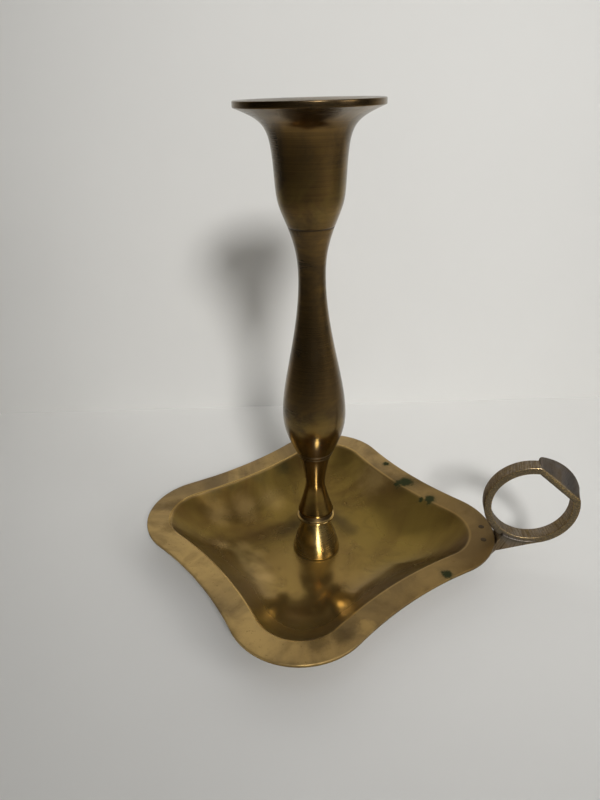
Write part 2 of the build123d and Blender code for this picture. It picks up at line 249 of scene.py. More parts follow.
def rounded(points, radii, steps):
    """An open line of points whose inner corners are rounded by the radius given for each."""
    line = [points[0]]
    for before, corner, after, radius in zip(points, points[1:], points[2:], radii):
        if not radius:
            line.append(corner)
            continue
        here = Vector(corner)
        towards = (Vector(before) - here).normalized()
        away = (Vector(after) - here).normalized()
        half = towards.angle(away) / 2
        reach = radius / math.tan(half)
        centre = here + (towards + away).normalized() * (radius / math.sin(half))
        first = here + towards * reach - centre
        last = here + away * reach - centre
        turn = math.atan2(first.x * last.y - first.y * last.x, first.dot(last))
        for step in range(steps + 1):
            line.append(tuple(centre + Matrix.Rotation(turn * step / steps, 2) @ first))
    line.append(points[-1])
    return line


def stretch(start, end, steps):
    """Points on a straight line after its start."""
    return [tuple(Vector(start).lerp(Vector(end), step / steps)) for step in range(1, steps + 1)]


def mesh_from_rows(name, rows, closed_rows=True, caps=False):
    """A mesh of rings of points. A row of one point is a pole.

    closed_rows joins the last row to the first, and caps closes the first and the last row.
    """
    shape = bmesh.new()
    rings = [[shape.verts.new(point) for point in row] for row in rows]
    pairs = list(zip(rings, rings[1:]))
    if closed_rows:
        pairs.append((rings[-1], rings[0]))
    for low, high in pairs:
        count = max(len(low), len(high))
        for i in range(count):
            after = i + 1
            corners = [low[i % len(low)], low[after % len(low)], high[after % len(high)], high[i % len(high)]]
            shape.faces.new(list(dict.fromkeys(corners)))
    if caps:
        shape.faces.new(rings[0])
        shape.faces.new(list(reversed(rings[-1])))
    bmesh.ops.recalc_face_normals(shape, faces=shape.faces)
    mesh = bpy.data.meshes.new(name)
    shape.to_mesh(mesh)
    shape.free()
    return mesh


def round_axis(radius, turn, height):
    """A point at a radius and a turn about the stem's axis."""
    return Vector((radius * math.cos(turn), radius * math.sin(turn), height))


def turned(name, section, closed_rows=True, segments=TURN_SEGMENTS):
    """A mesh turned about the stem's axis from points of radius and height."""
    rows = []
    for radius, height in section:
        if radius < POLE_RADIUS:
            rows.append([Vector((0, 0, height))])
            continue
        rows.append([round_axis(radius, math.tau * i / segments, height) for i in range(segments)])
    return mesh_from_rows(name, rows, closed_rows)


def store(mesh, attribute, values):
    """Stores one number on each point of the mesh."""
    layer = mesh.attributes.new(attribute, "FLOAT", "POINT")
    layer.data.foreach_set("value", values)


def paint(mesh, attribute, rule):
    """Stores a number on each point of the mesh, worked out from its place."""
    store(mesh, attribute, [rule(vertex.co) for vertex in mesh.vertices])


def paint_rows(mesh, attribute, section, values):
    """Stores one number on all points of each turned row."""
    spread = []
    for (radius, _), value in zip(section, values):
        spread += [value] * (1 if radius < POLE_RADIUS else TURN_SEGMENTS)
    store(mesh, attribute, spread)


def put_in_scene(name, data):
    """A new object in the scene."""
    item = bpy.data.objects.new(name, data)
    bpy.context.scene.collection.objects.link(item)
    return item


def finish_piece(mesh, material, slot, *nodes):
    """Makes the mesh a piece that rides on the body and stands for the CAD nodes."""
    piece = put_in_scene(mesh.name, mesh)
    mesh.polygons.foreach_set("use_smooth", [True] * len(mesh.polygons))
    mesh.set_sharp_from_angle(angle=SMOOTH_ANGLE)
    mesh.materials.clear()
    mesh.materials.append(material)
    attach(piece, BODY)
    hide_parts(*nodes)


def plain_mesh(piece, name):
    """The evaluated mesh of an object, which is then removed."""
    graph = bpy.context.evaluated_depsgraph_get()
    mesh = bpy.data.meshes.new_from_object(piece.evaluated_get(graph))
    mesh.name = name
    bpy.data.objects.remove(piece)
    return mesh


def near_height(height, spread):
    """A rule that is one at a height and fades away from it."""
    return lambda place: fade(place.z - height, spread)


# Node trees


class Tree:
    """Shorthand for adding nodes to one tree."""

    def __init__(self, nodes):
        self.nodes = nodes

    def add(self, kind, values=None, **settings):
        """A new node with its settings and its inputs."""
        node = self.nodes.nodes.new(kind)
        for key, value in settings.items():
            setattr(node, key, value)
        for key, value in (values or {}).items():
            self.put(node.inputs[key], value)
        return node

    def put(self, socket, value):
        """Links a socket to an input, or sets the input's value."""
        if isinstance(value, bpy.types.NodeSocket):
            self.nodes.links.new(value, socket)
        else:
            socket.default_value = value

    def math(self, operation, first, second=0.0, clamp=False):
        """One operation on numbers."""
        values = {0: first, 1: second}
        return self.add("ShaderNodeMath", values, operation=operation, use_clamp=clamp).outputs[0]

    def times(self, first, second):
        return self.math("MULTIPLY", first, second)

    def plus(self, first, second, clamp=False):
        return self.math("ADD", first, second, clamp)

    def minus(self, first, second, clamp=False):
        return self.math("SUBTRACT", first, second, clamp)

    def over(self, first, second):
        return self.math("DIVIDE", first, second)

    def scaled(self, vector, scale):
        """A vector times a number."""
        return self.add("ShaderNodeVectorMath", {0: vector, "Scale": scale}, operation="SCALE").outputs[0]

    def vector(self, operation, first, second):
        """One operation on vectors."""
        return self.add("ShaderNodeVectorMath", {0: first, 1: second}, operation=operation).outputs[0]

    def mix(self, share, first, second):
        """A colour between two."""
        return self.add("ShaderNodeMix", {0: share, 6: first, 7: second}, data_type="RGBA").outputs[2]

    def tint(self, body, tone, mask, share):
        """A colour with a share of a tone where the mask is."""
        return self.mix(self.times(mask, share), body, rgba(tone))

    def blend(self, share, first, second):
        """A number between two."""
        return self.add("ShaderNodeMix", {0: share, 2: first, 3: second}).outputs[0]

    def noise(self, vector, scale, detail, roughness, distortion=0.0):
        """Soft noise about one half."""
        values = {"Vector": vector, "Scale": scale, "Detail": detail, "Roughness": roughness}
        values["Distortion"] = distortion
        return self.add("ShaderNodeTexNoise", values).outputs[0]

    def remap(self, value, low, high):
        """Zero at low, one at high and a smooth step between."""
        values = {0: value, 1: low, 2: high}
        return self.add("ShaderNodeMapRange", values, interpolation_type="SMOOTHSTEP").outputs[0]

    def group(self, name, values):
        """The outputs of a shared effect."""
        return self.add("ShaderNodeGroup", values, node_tree=bpy.data.node_groups[name]).outputs

    def attribute(self, name):
        """A number that is stored on the mesh."""
        return self.add("ShaderNodeAttribute", attribute_name=name).outputs["Fac"]


def shader_group(name, outputs, **inputs):
    """A new shader group whose named inputs are vectors or numbers, as their defaults are."""
    nodes = bpy.data.node_groups.new(name, "ShaderNodeTree")
    for label, default in inputs.items():
        kind = "NodeSocketVector" if isinstance(default, tuple) else "NodeSocketFloat"
        nodes.interface.new_socket(name=label, in_out="INPUT", socket_type=kind).default_value = default
    for label in outputs:
        nodes.interface.new_socket(name=label, in_out="OUTPUT", socket_type="NodeSocketFloat")
    tree = Tree(nodes)
    return tree, tree.add("NodeGroupInput").outputs, tree.add("NodeGroupOutput").inputs


def make_cloud_group():
    """Clouds of tarnish: a soft mask of a given size."""
    tree, given, out = shader_group(
        "Tarnish clouds", ["Mask"], Vector=(0, 0, 0), Size=0.01, Low=0.4, High=0.6, Swirl=0.6
    )
    place = tree.scaled(given["Vector"], tree.over(1.0, given["Size"]))
    cloud = tree.noise(place, 1.0, 5.0, 0.58, given["Swirl"])
    tree.put(out["Mask"], tree.remap(cloud, given["Low"], given["High"]))


def make_turning_group():
    """Fine rings left by the turning tool: a height and a tone that follow height and radius."""
    tree, given, out = shader_group(
        "Turning marks", ["Height", "Tone"], Vector=(0, 0, 0), Pitch=0.0004, Break=60.0
    )
    parts = tree.add("ShaderNodeSeparateXYZ", {0: given["Vector"]}).outputs
    squares = [tree.math("POWER", part, 2.0) for part in (parts[0], parts[1])]
    radius = tree.math("SQRT", tree.plus(*squares))
    along = tree.over(tree.plus(parts[2], radius), given["Pitch"])
    across = tree.times(parts[0], given["Break"])
    depth = tree.times(parts[1], given["Break"])
    place = tree.add("ShaderNodeCombineXYZ", {0: across, 1: depth, 2: along}).outputs[0]
    fine = tree.noise(place, 1.0, 2.0, 0.7)
    broad = tree.noise(place, 0.16, 3.0, 0.6)
    tree.put(out["Height"], tree.plus(fine, tree.times(broad, 1.5)))
    tree.put(out["Tone"], tree.remap(tree.plus(tree.times(fine, 0.5), tree.times(broad, 0.5)), 0.4, 0.6))


def make_spot_group():
    """One ragged spot at a place. Its edge is as soft as asked, and heights count less than widths."""
    tree, given, out = shader_group(
        "Stain spot", ["Mask"], Vector=(0, 0, 0), Centre=(0, 0, 0), Radius=0.003, Rag=0.5, Soft=0.3
    )
    offset = tree.vector("SUBTRACT", given["Vector"], given["Centre"])
    flat = tree.vector("MULTIPLY", offset, (1, 1, 0.4))
    far = tree.add("ShaderNodeVectorMath", {0: flat}, operation="LENGTH").outputs["Value"]
    far = tree.over(far, given["Radius"])
    torn = tree.noise(tree.scaled(given["Vector"], tree.over(1.6, given["Radius"])), 1.0, 4.0, 0.65)
    rag = tree.times(tree.minus(torn, 0.5), given["Rag"])
    far = tree.plus(far, tree.times(rag, 2.0))
    tree.put(out["Mask"], tree.minus(1.0, tree.remap(far, tree.minus(1.0, given["Soft"]), 1.0)))


def make_scratch_group():
    """Wiping scratches: thin lines in two directions, as a height."""
    tree, given, out = shader_group("Wiping scratches", ["Height"], Vector=(0, 0, 0), Width=0.0002, Turn=0.4)
    layers = []
    for extra in (0.0, 1.1):
        turn = tree.plus(given["Turn"], extra)
        wiped = tree.add("ShaderNodeVectorRotate", {"Vector": given["Vector"], "Angle": turn}).outputs[0]
        place = tree.scaled(wiped, tree.over(1.0, given["Width"]))
        layers.append(tree.noise(tree.vector("MULTIPLY", place, (0.012, 1, 1)), 1.0, 2.0, 0.6))
    tree.put(out["Height"], tree.plus(*layers))


def make_file_group():
    """File strokes across a band that runs round the loop's middle: a height and a tone."""
    tree, given, out = shader_group(
        "File strokes", ["Height", "Tone"], Vector=(0, 0, 0), Middle=(0, 0, 0), Radius=0.019, Width=0.0004
    )
    offset = tree.vector("SUBTRACT", given["Vector"], given["Middle"])
    parts = tree.add("ShaderNodeSeparateXYZ", {0: offset}).outputs
    along = tree.times(tree.math("ARCTAN2", parts[2], parts[0]), given["Radius"])
    along = tree.over(tree.plus(along, tree.times(parts[1], 0.18)), given["Width"])
    across = tree.times(parts[1], 140.0)
    place = tree.add("ShaderNodeCombineXYZ", {0: along, 1: across, 2: 0.3}).outputs[0]
    strokes = tree.noise(place, 1.0, 3.0, 0.65)
    tree.put(out["Height"], strokes)
    tree.put(out["Tone"], tree.remap(strokes, 0.42, 0.6))


def make_groups():
    """Builds each shared effect once."""
    make_cloud_group()
    make_turning_group()
    make_spot_group()
    make_scratch_group()
    make_file_group()


def new_material(name):
    """An empty material, its shorthand, its Principled inputs and its Object coordinates."""
    material = bpy.data.materials.new(name)
    material.use_nodes = True
    material.node_tree.nodes.clear()
    tree = Tree(material.node_tree)
    surface = tree.add("ShaderNodeBsdfPrincipled")
    output = tree.add("ShaderNodeOutputMaterial")
    material.node_tree.links.new(surface.outputs[0], output.inputs["Surface"])
    place = tree.add("ShaderNodeTexCoord").outputs["Object"]
    return material, tree, surface.inputs, place


def rgba(value):
    """A colour with its opacity."""
    return (*value, 1.0)


def clouds(tree, place, size, low, high, swirl):
    """A tarnish mask."""
    values = {"Vector": place, "Size": size, "Low": low, "High": high, "Swirl": swirl}
    return tree.group("Tarnish clouds", values)[0]


def spot(tree, place, centre, radius, rag, soft):
    """The mask of one stain."""
    values = {"Vector": place, "Centre": centre, "Radius": radius, "Rag": rag, "Soft": soft}
    return tree.group("Stain spot", values)[0]


def bumped(tree, height, strength, distance):
    """A normal bent by a height."""
    values = {"Height": height, "Strength": strength, "Distance": distance}
    return tree.add("ShaderNodeBump", values).outputs[0]


SPOTS = (
    # x, y and radius in metres, raggedness
    (0.0402, 0.0352, 0.0044, 0.70),
    (0.0364, 0.0340, 0.0028, 0.80),
    (0.0511, 0.0224, 0.0031, 0.70),
    (0.0469, 0.0226, 0.0014, 0.70),
    (0.0301, 0.0503, 0.0020, 0.70),
    (0.0294, 0.0356, 0.0009, 0.70),
    (0.0553, -0.0272, 0.0028, 0.80),
)

STAINS_AND_PAINTED_LIGHT = (
    # place in metres, radius, raggedness, colour and its share
    ((-0.0545, 0.0205, 0.010), 0.0075, 0.6, "moss", 0.85),
    ((-0.0460, 0.0290, 0.010), 0.0080, 0.6, "moss", 0.75),
    # painted highlight: a pale band low on the back-left wall
    ((-0.0480, 0.0110, 0.006), 0.0085, 0.3, "pale", 0.40),
    ((-0.0370, 0.0185, 0.005), 0.0095, 0.3, "pale", 0.40),
    ((-0.0250, 0.0270, 0.005), 0.0095, 0.3, "pale", 0.35),
    ((-0.0350, 0.0370, 0.010), 0.0080, 0.6, "moss", 0.50),
    ((-0.0240, 0.0460, 0.010), 0.0070, 0.6, "moss", 0.65),
    # painted light: the back-right wall painted pale, as if lit
    ((0.0280, 0.0440, 0.009), 0.0150, 0.4, "pale", 0.60),
    ((0.0400, 0.0380, 0.010), 0.0065, 0.6, "brown", 0.25),
    # painted shade: dark wings on the dish on both sides of the bell
    ((-0.0106, 0.0150, 0.001), 0.0060, 0.3, "umber", 0.60),
    ((-0.0135, 0.0117, 0.001), 0.0062, 0.3, "umber", 0.60),
    ((-0.0162, 0.0077, 0.001), 0.0056, 0.3, "umber", 0.50),
    ((0.0071, 0.0208, 0.001), 0.0070, 0.3, "umber", 0.60),
    ((0.0108, 0.0174, 0.001), 0.0072, 0.3, "umber", 0.60),
    ((0.0145, 0.0126, 0.001), 0.0064, 0.3, "umber", 0.50),
    # painted reflection: a pale curved streak across the front-left floor
    ((-0.0424, -0.0066, 0.003), 0.0060, 0.3, "pale", 0.35),
    ((-0.0328, -0.0063, 0.002), 0.0068, 0.3, "pale", 0.45),
    ((-0.0260, -0.0100, 0.001), 0.0062, 0.3, "pale", 0.45),
    ((-0.0225, -0.0165, 0.001), 0.0062, 0.3, "pale", 0.50),
    ((-0.0190, -0.0235, 0.002), 0.0066, 0.3, "pale", 0.60),
    ((0.0160, -0.0070, 0.001), 0.0140, 0.3, "brown", 0.45),
    ((0.0080, -0.0665, 0.015), 0.0065, 0.6, "umber", 0.50),
    ((0.0165, -0.0625, 0.015), 0.0060, 0.6, "umber", 0.50),
    ((0.0250, -0.0575, 0.015), 0.0048, 0.6, "rubbed", 0.55),
    ((-0.0655, 0.0040, 0.015), 0.0075, 0.6, "brown", 0.60),
    ((-0.0630, -0.0110, 0.015), 0.0065, 0.6, "brown", 0.55),
)

DULL_PATCHES = (
    # place in metres, radius, softness of the edge and added roughness
    ((0.0, 0.0, 0.001), 0.024, 0.5, 0.12),
    ((0.046, 0.024, 0.008), 0.034, 0.8, 0.22),
)
RIM_STAIN_HEIGHT = 0.012


def tray_stains_and_painted_light(tree, place, rim, body, brass):
    """Lays the stains, painted highlights, reflections and shadows over the tray's colour. Those of the dish
    stop at the rim.
    """
    for centre, radius, rag, tone, share in STAINS_AND_PAINTED_LIGHT:
        inside = centre[2] < RIM_STAIN_HEIGHT
        patch = tree.times(spot(tree, place, centre, radius, rag, 0.97 if inside else 0.75), share)
        if inside:
            patch = tree.times(patch, tree.minus(1.0, rim))
        body = tree.mix(patch, body, rgba(getattr(brass, tone)))
    return body


def green_spots(tree, place, rim_height):
    """Masks of the green spots and of the dark halo round them."""
    green, halo = 0.0, 0.0
    for x, y, radius, rag in SPOTS:
        centre = (x, y, rim_height)
        green = tree.math("MAXIMUM", green, spot(tree, place, centre, radius, rag, 0.5))
        halo = tree.math("MAXIMUM", halo, spot(tree, place, centre, radius * 1.7, rag, 0.9))
    return green, halo


def tray_material(brass, rim_height):
    """Pressed tray: a satin rim, a half-bright dish under a thin film, stains and green spots, with painted
    shade on the rim's +x side, a painted highlight on the brim bend, painted shadows beside the bell and
    painted highlights and reflections in the dish.
    """
    material, tree, surface, place = new_material("Stained tray brass")
    film = clouds(tree, place, 0.045, 0.36, 0.68, 0.9)
    mottle = clouds(tree, place, 0.010, 0.48, 0.72, 0.6)
    specks = clouds(tree, place, 0.0011, 0.62, 0.72, 0.3)
    green, halo = green_spots(tree, place, rim_height)
    middle = spot(tree, place, (0.002, -0.026, 0.001), 0.040, 0.15, 0.6)
    parts = tree.add("ShaderNodeSeparateXYZ", {0: place}).outputs
    # painted shade: the rim is painted browner towards +x, and the bend's painted highlight fades that way
    shaded = tree.remap(parts[0], -0.02, 0.07)
    wall = tree.remap(parts[2], 0.0025, 0.0090)
    rim = tree.attribute("rim")
    # painted highlight along the inner brim bend, fading towards +x; the bend is also glossier
    bend = tree.times(tree.attribute("bend"), tree.minus(1.0, tree.times(shaded, 0.75)))

    dish = tree.mix(film, rgba(brass.olive), rgba(brass.brown))
    dish = tree.tint(dish, brass.rubbed, middle, 0.35)
    flat = tree.mix(film, rgba(brass.pale), rgba(brass.tan))
    # painted shade on the rim, towards +x
    flat = tree.tint(flat, brass.brown, shaded, 0.7)
    body = tree.mix(rim, dish, flat)
    body = tree.tint(body, brass.brown, mottle, 0.35)
    body = tree.tint(body, brass.brown, specks, 0.5)
    # painted highlight on the brim bend
    body = tree.tint(body, brass.rubbed, bend, 0.9)
    body = tray_stains_and_painted_light(tree, place, rim, body, brass)
    body = tree.tint(body, brass.moss, halo, 0.45)
    body = tree.tint(body, brass.verdigris, green, 0.94)
    tree.put(surface["Base Color"], body)

    bare = tree.plus(tree.blend(rim, 0.84, 0.74), tree.times(bend, 0.2))
    bare = tree.minus(bare, tree.times(mottle, 0.15))
    tree.put(surface["Metallic"], tree.minus(bare, tree.times(green, 0.7), clamp=True))
    surface["Specular IOR Level"].default_value = 0.15

    rough = tree.plus(0.16, tree.times(film, 0.08))
    rough = tree.blend(middle, tree.plus(rough, tree.times(mottle, 0.08)), 0.15)
    for centre, radius, soft, share in DULL_PATCHES:
        rough = tree.plus(rough, tree.times(spot(tree, place, centre, radius, 0.3, soft), share))
    rough = tree.plus(rough, tree.times(wall, 0.13))
    rough = tree.plus(rough, tree.times(rim, 0.07))
    rough = tree.minus(rough, tree.times(bend, 0.16))
    tree.put(surface["Roughness"], tree.plus(rough, tree.times(green, 0.55), clamp=True))

    scratches = tree.group("Wiping scratches", {"Vector": place, "Width": 0.00025, "Turn": 0.5})[0]
    calm = tree.minus(1.0, tree.times(middle, 0.7))
    waves = tree.times(tree.noise(place, 90.0, 2.0, 0.5), calm)
    height = tree.plus(tree.times(scratches, 0.05), tree.times(waves, 0.18))
    height = tree.plus(height, tree.times(green, 0.3))
    tree.put(surface["Normal"], bumped(tree, height, 0.3, 0.0004))
    return material


def turned_material(name, brass, bright, dull, cover, roughness, marks, bare=1.0, lacquer=0.0):
    """Turned brass: rings of the tool, clouds of tarnish, a lighter olive tone, dark seams and painted shade
    in hollows.

    cover is the share of the dull film, marks the depth of the rings and bare how far the metal shows.
    """
    material, tree, surface, place = new_material(name)
    rings = tree.group("Turning marks", {"Vector": place, "Pitch": 0.00035, "Break": 45.0})
    film = clouds(tree, place, 0.022, 0.36, 0.66, 0.9)
    mottle = clouds(tree, place, 0.005, 0.48, 0.70, 0.5)
    body = tree.mix(tree.times(film, cover), rgba(bright), rgba(dull))
    body = tree.tint(body, brass.brown, mottle, 0.3)
    body = tree.tint(body, dull, rings["Tone"], 0.1 + 0.8 * marks)
    # a lighter olive tone in clouds, at the heights stored on the mesh
    rub = tree.times(tree.attribute("rub"), clouds(tree, place, 0.009, 0.40, 0.62, 0.6))
    body = tree.tint(body, brass.olive, rub, 0.5)
    # dark seams, and painted shade in the collar's cove and down the candle bore
    seam = tree.attribute("seam")
    body = tree.tint(body, brass.black, seam, 0.85)
    tree.put(surface["Base Color"], body)
    tree.put(surface["Metallic"], tree.minus(bare, tree.times(film, 0.1)))
    surface["Specular Tint"].default_value = rgba((1.0, 1.0, 0.97))
    surface["Coat Weight"].default_value = lacquer
    surface["Coat Roughness"].default_value = 0.3
    rough = tree.plus(roughness, tree.times(film, 0.08))
    rough = tree.plus(rough, tree.times(rings["Tone"], 0.04))
    tree.put(surface["Roughness"], tree.plus(rough, tree.times(seam, 0.3), clamp=True))
    tree.put(surface["Normal"], bumped(tree, rings["Height"], marks, 0.00006))
    return material


def loop_material(name, brass, roughness, cut, middle):
    """Cast and filed brass with a grey bloom and edges painted pale, partly wear and partly painted
    highlight. cut is the depth of the file strokes.
    """
    material, tree, surface, place = new_material(name)
    values = {"Vector": place, "Middle": tuple(middle), "Radius": 0.0189, "Width": 0.0005}
    strokes = tree.group("File strokes", values)
    edge, curved = tree.attribute("edge"), tree.attribute("curved")
    bloom = clouds(tree, place, 0.012, 0.36, 0.64, 0.7)
    pits = clouds(tree, place, 0.0013, 0.58, 0.68, 0.4)
    chips = clouds(tree, place, 0.0006, 0.50, 0.60, 0.2)
    body = tree.mix(tree.times(bloom, 0.5), rgba(brass.grey), rgba(brass.brown))
    body = tree.mix(curved, rgba(brass.bronze), body)
    body = tree.tint(body, brass.tan, tree.attribute("tongue"), 0.5)
    filed = tree.times(strokes["Tone"], tree.times(curved, cut))
    body = tree.mix(filed, body, rgba(brass.umber))
    body = tree.tint(body, brass.black, pits, 0.3)
    # the edges are painted pale: partly wear, partly painted highlight
    wear_and_highlight = tree.times(edge, tree.plus(0.25, tree.times(chips, 0.75)))
    body = tree.mix(wear_and_highlight, body, rgba(brass.pale))
    tree.put(surface["Base Color"], body)
    surface["Metallic"].default_value = 0.9
    surface["Specular Tint"].default_value = rgba((0.5, 0.46, 0.42))
    rough = tree.plus(roughness, tree.times(bloom, 0.10))
    tree.put(surface["Roughness"], tree.minus(rough, tree.times(wear_and_highlight, 0.15)))
    lumps = tree.noise(place, 420.0, 3.0, 0.6)
    scored = tree.times(strokes["Height"], tree.times(curved, cut))
    height = tree.plus(scored, tree.times(lumps, 0.5))
    tree.put(surface["Normal"], bumped(tree, height, 0.6, 0.0002))
    return material


def studio_material(name, tone):
    """Matt paint with a little unevenness, seen from its front side only."""
    material, tree, surface, place = new_material(name)
    behind = tree.add("ShaderNodeNewGeometry").outputs["Backfacing"]
    tree.put(surface["Alpha"], tree.minus(1.0, behind))
    haze = tree.noise(place, 9.0, 4.0, 0.55)
    darker = tuple(0.94 * channel for channel in tone)
    tree.put(surface["Base Color"], tree.mix(haze, rgba(darker), rgba(tone)))
    surface["Roughness"].default_value = 0.7
    surface["Specular IOR Level"].default_value = 0.2
    return material


# Operators


class PieceOperator:
    """What every operator here shares."""

    bl_options = {"REGISTER", "UNDO"}

    @property
    def stick(self):
        return bpy.context.scene.chamberstick


def tray_outline(tray, inset):
    """Points of the tray's outline, drawn in by inset: round corners and hollow sides that meet smoothly."""
    corner_steps, side_steps = 30, 36
    corner_centre = tray.corner_reach - tray.corner_radius
    excess = tray.corner_radius - tray.side_reach
    side_centre = (corner_centre**2 - excess**2) / (2 * excess + math.sqrt(2) * corner_centre)
    side_radius = side_centre - tray.side_reach + inset
    corner_radius = tray.corner_radius - inset
    offset = side_centre / math.sqrt(2)
    corner_half = math.atan2(offset, offset - corner_centre)
    side_half = corner_half - math.pi / 4
    points = []
    for quarter in range(4):
        turn = quarter * math.pi / 2
        for step in range(corner_steps):
            a = turn - corner_half + 2 * corner_half * step / corner_steps
            points.append(round_axis(corner_centre, turn, 0) + round_axis(corner_radius, a, 0))
        across = turn + math.pi / 4
        for step in range(side_steps):
            a = across + math.pi + side_half - 2 * side_half * step / side_steps
            points.append(round_axis(side_centre, across, 0) + round_axis(side_radius, a, 0))
    return points


class MakeTray(PieceOperator, bpy.types.Operator):
    """Presses the tray: rim, wall, dish, seat and nut pocket"""

    bl_idname = "chamberstick.make_tray"
    bl_label = "Tray"

    bowl_steps = 44
    floor_steps = 12
    edge_run = 0.002
    bell_clearance = 0.011
    calm_run = 0.008
    # scale, layer and share of the noise that makes the sheet uneven
    waves = ((34, 2.3, 1.0), (75, 7.9, 0.45))

    def execute(self, context):
        tray = self.stick.tray
        edge_reach = tray.corner_reach - tray.rim_width
        rise = under_rim = tray.height - tray.sheet
        run = edge_reach - tray.floor_reach
        bowl = (run**2 + rise**2) / (2 * rise)
        sweep = math.asin(run / bowl)
        slope = Vector((math.cos(sweep), math.sin(sweep)))
        rows, bends = [], []

        def circle_row(radius, height):
            """A round row with as many points as the outline."""
            directions = [p.normalized() for p in tray_outline(tray, 0)]
            rows.append([d * radius + Vector((0, 0, height)) for d in directions])
            bends.append(0.0)

        def reach_row(reach, height, bend=0.0):
            """A row given by its reach at the corners: scaled inside the rim, drawn in on the rim."""
            inset = tray.corner_reach - max(reach, edge_reach)
            share = min(1.0, reach / edge_reach)
            rows.append([p * share + Vector((0, 0, height)) for p in tray_outline(tray, inset)])
            bends.append(bend)

        def curve(offset):
            """Points of the bowl's section from the floor outwards, offset towards the underside."""
            radius = bowl + offset
            angles = [sweep * step / self.bowl_steps for step in range(self.bowl_steps + 1)]
            centre = tray.sheet + bowl
            return [(tray.floor_reach + radius * math.sin(a), centre - radius * math.cos(a)) for a in angles]

        def floor_rows(height, outwards):
            """Rows of the flat floor, between the seat and the bowl."""
            beside_seat = tray.seat_radius * 1.02
            inner = [p.normalized() * beside_seat for p in tray_outline(tray, 0)]
            share = tray.floor_reach / edge_reach
            outer = [p * share for p in tray_outline(tray, tray.rim_width)]
            shares = [step / self.floor_steps for step in range(1, self.floor_steps)]
            for share in shares if outwards else reversed(shares):
                rows.append([a.lerp(b, share) + Vector((0, 0, height)) for a, b in zip(inner, outer)])
                bends.append(0.0)

        seat_top = tray.seat_height + tray.sheet
        seat = rounded(
            [(tray.hole_radius, seat_top), (tray.seat_radius, seat_top), (tray.seat_radius, tray.sheet)],
            [tray.seat_round],
            5,
        )
        for radius, height in seat:
            circle_row(radius, height)
        floor_rows(tray.sheet, True)
        brim = rounded(
            [
                tuple(Vector((edge_reach, tray.height)) - slope * 2 * self.edge_run),
                (edge_reach, tray.height),
                (tray.corner_reach - tray.edge_round, tray.height),
            ],
            [tray.brim_bend],
            10,
        )
        for reach, height in curve(0.0):
            if reach < brim[1][0] - HAIR:
                reach_row(reach, height)
        for i, (reach, height) in enumerate(brim[1:-1]):
            reach_row(reach, height, math.sin(math.pi * i / (len(brim) - 3)))
        edge = rounded(
            [
                (tray.corner_reach - self.edge_run, tray.height),
                (tray.corner_reach, tray.height),
                (tray.corner_reach, under_rim),
                (tray.corner_reach - self.edge_run, under_rim),
            ],
            [tray.edge_round, tray.edge_round * 0.6],
            4,
        )
        for reach, height in edge:
            reach_row(reach, height)
        below = [point for point in reversed(curve(tray.sheet)) if point[1] < under_rim]
        reach_row(below[0][0] + 0.0004, under_rim)
        for reach, height in below:
            reach_row(reach, height)
        floor_rows(0.0, False)
        pocket = tray.seat_radius - tray.sheet
        for radius, height in ((pocket, 0), (pocket, tray.seat_height), (tray.hole_radius, tray.seat_height)):
            circle_row(radius, height)
        mesh = mesh_from_rows("pressed_tray", rows)
        self.ripple(mesh, tray)
        store(mesh, "bend", [value for value in bends for _ in rows[0]])
        rim_start, rim_fade = tray.height - 0.0011, 0.001
        paint(mesh, "rim", lambda place: min(1.0, max(0.0, (place.z - rim_start) / rim_fade)))
        finish_piece(mesh, tray_material(self.stick.brass, tray.height), "tray_brass", "tray")
        return {"FINISHED"}

    def ripple(self, mesh, tray):
        """Makes the upper side a little uneven, as pressed sheet is: not under the bell, less on the rim."""
        upward = [normal.vector.z for normal in mesh.vertex_normals]
        for vertex, up in zip(mesh.vertices, upward):
            place = vertex.co
            far = math.hypot(place.x, place.y)
            if up < 0.3 or far < self.bell_clearance or place.z < tray.sheet - HAIR:
                continue
            swell = 0.0
            for scale, layer, share in self.waves:
                swell += share * noise.noise(Vector((place.x * scale, place.y * scale, layer)))
            calm = min(1.0, (far - self.bell_clearance) / self.calm_run)
            if place.z > tray.height - tray.brim_bend:
                calm *= 0.35
            vertex.co.z += swell * tray.ripple * calm


def stem_levels(stick):
    """Heights of the faces where the stem's pieces meet."""
    stem, tray = stick.stem, stick.tray
    levels = {"floor": tray.sheet, "seat": tray.sheet + tray.seat_height}
    levels["bell"] = levels["floor"] + stem.bell_height
    levels["collar"] = levels["bell"] + stem.collar_height
    levels["spindle"] = levels["collar"] + stem.spindle_height
    levels["baluster"] = levels["spindle"] + stem.baluster_height
    levels["cup"] = levels["baluster"] + stem.cup_height
    return levels


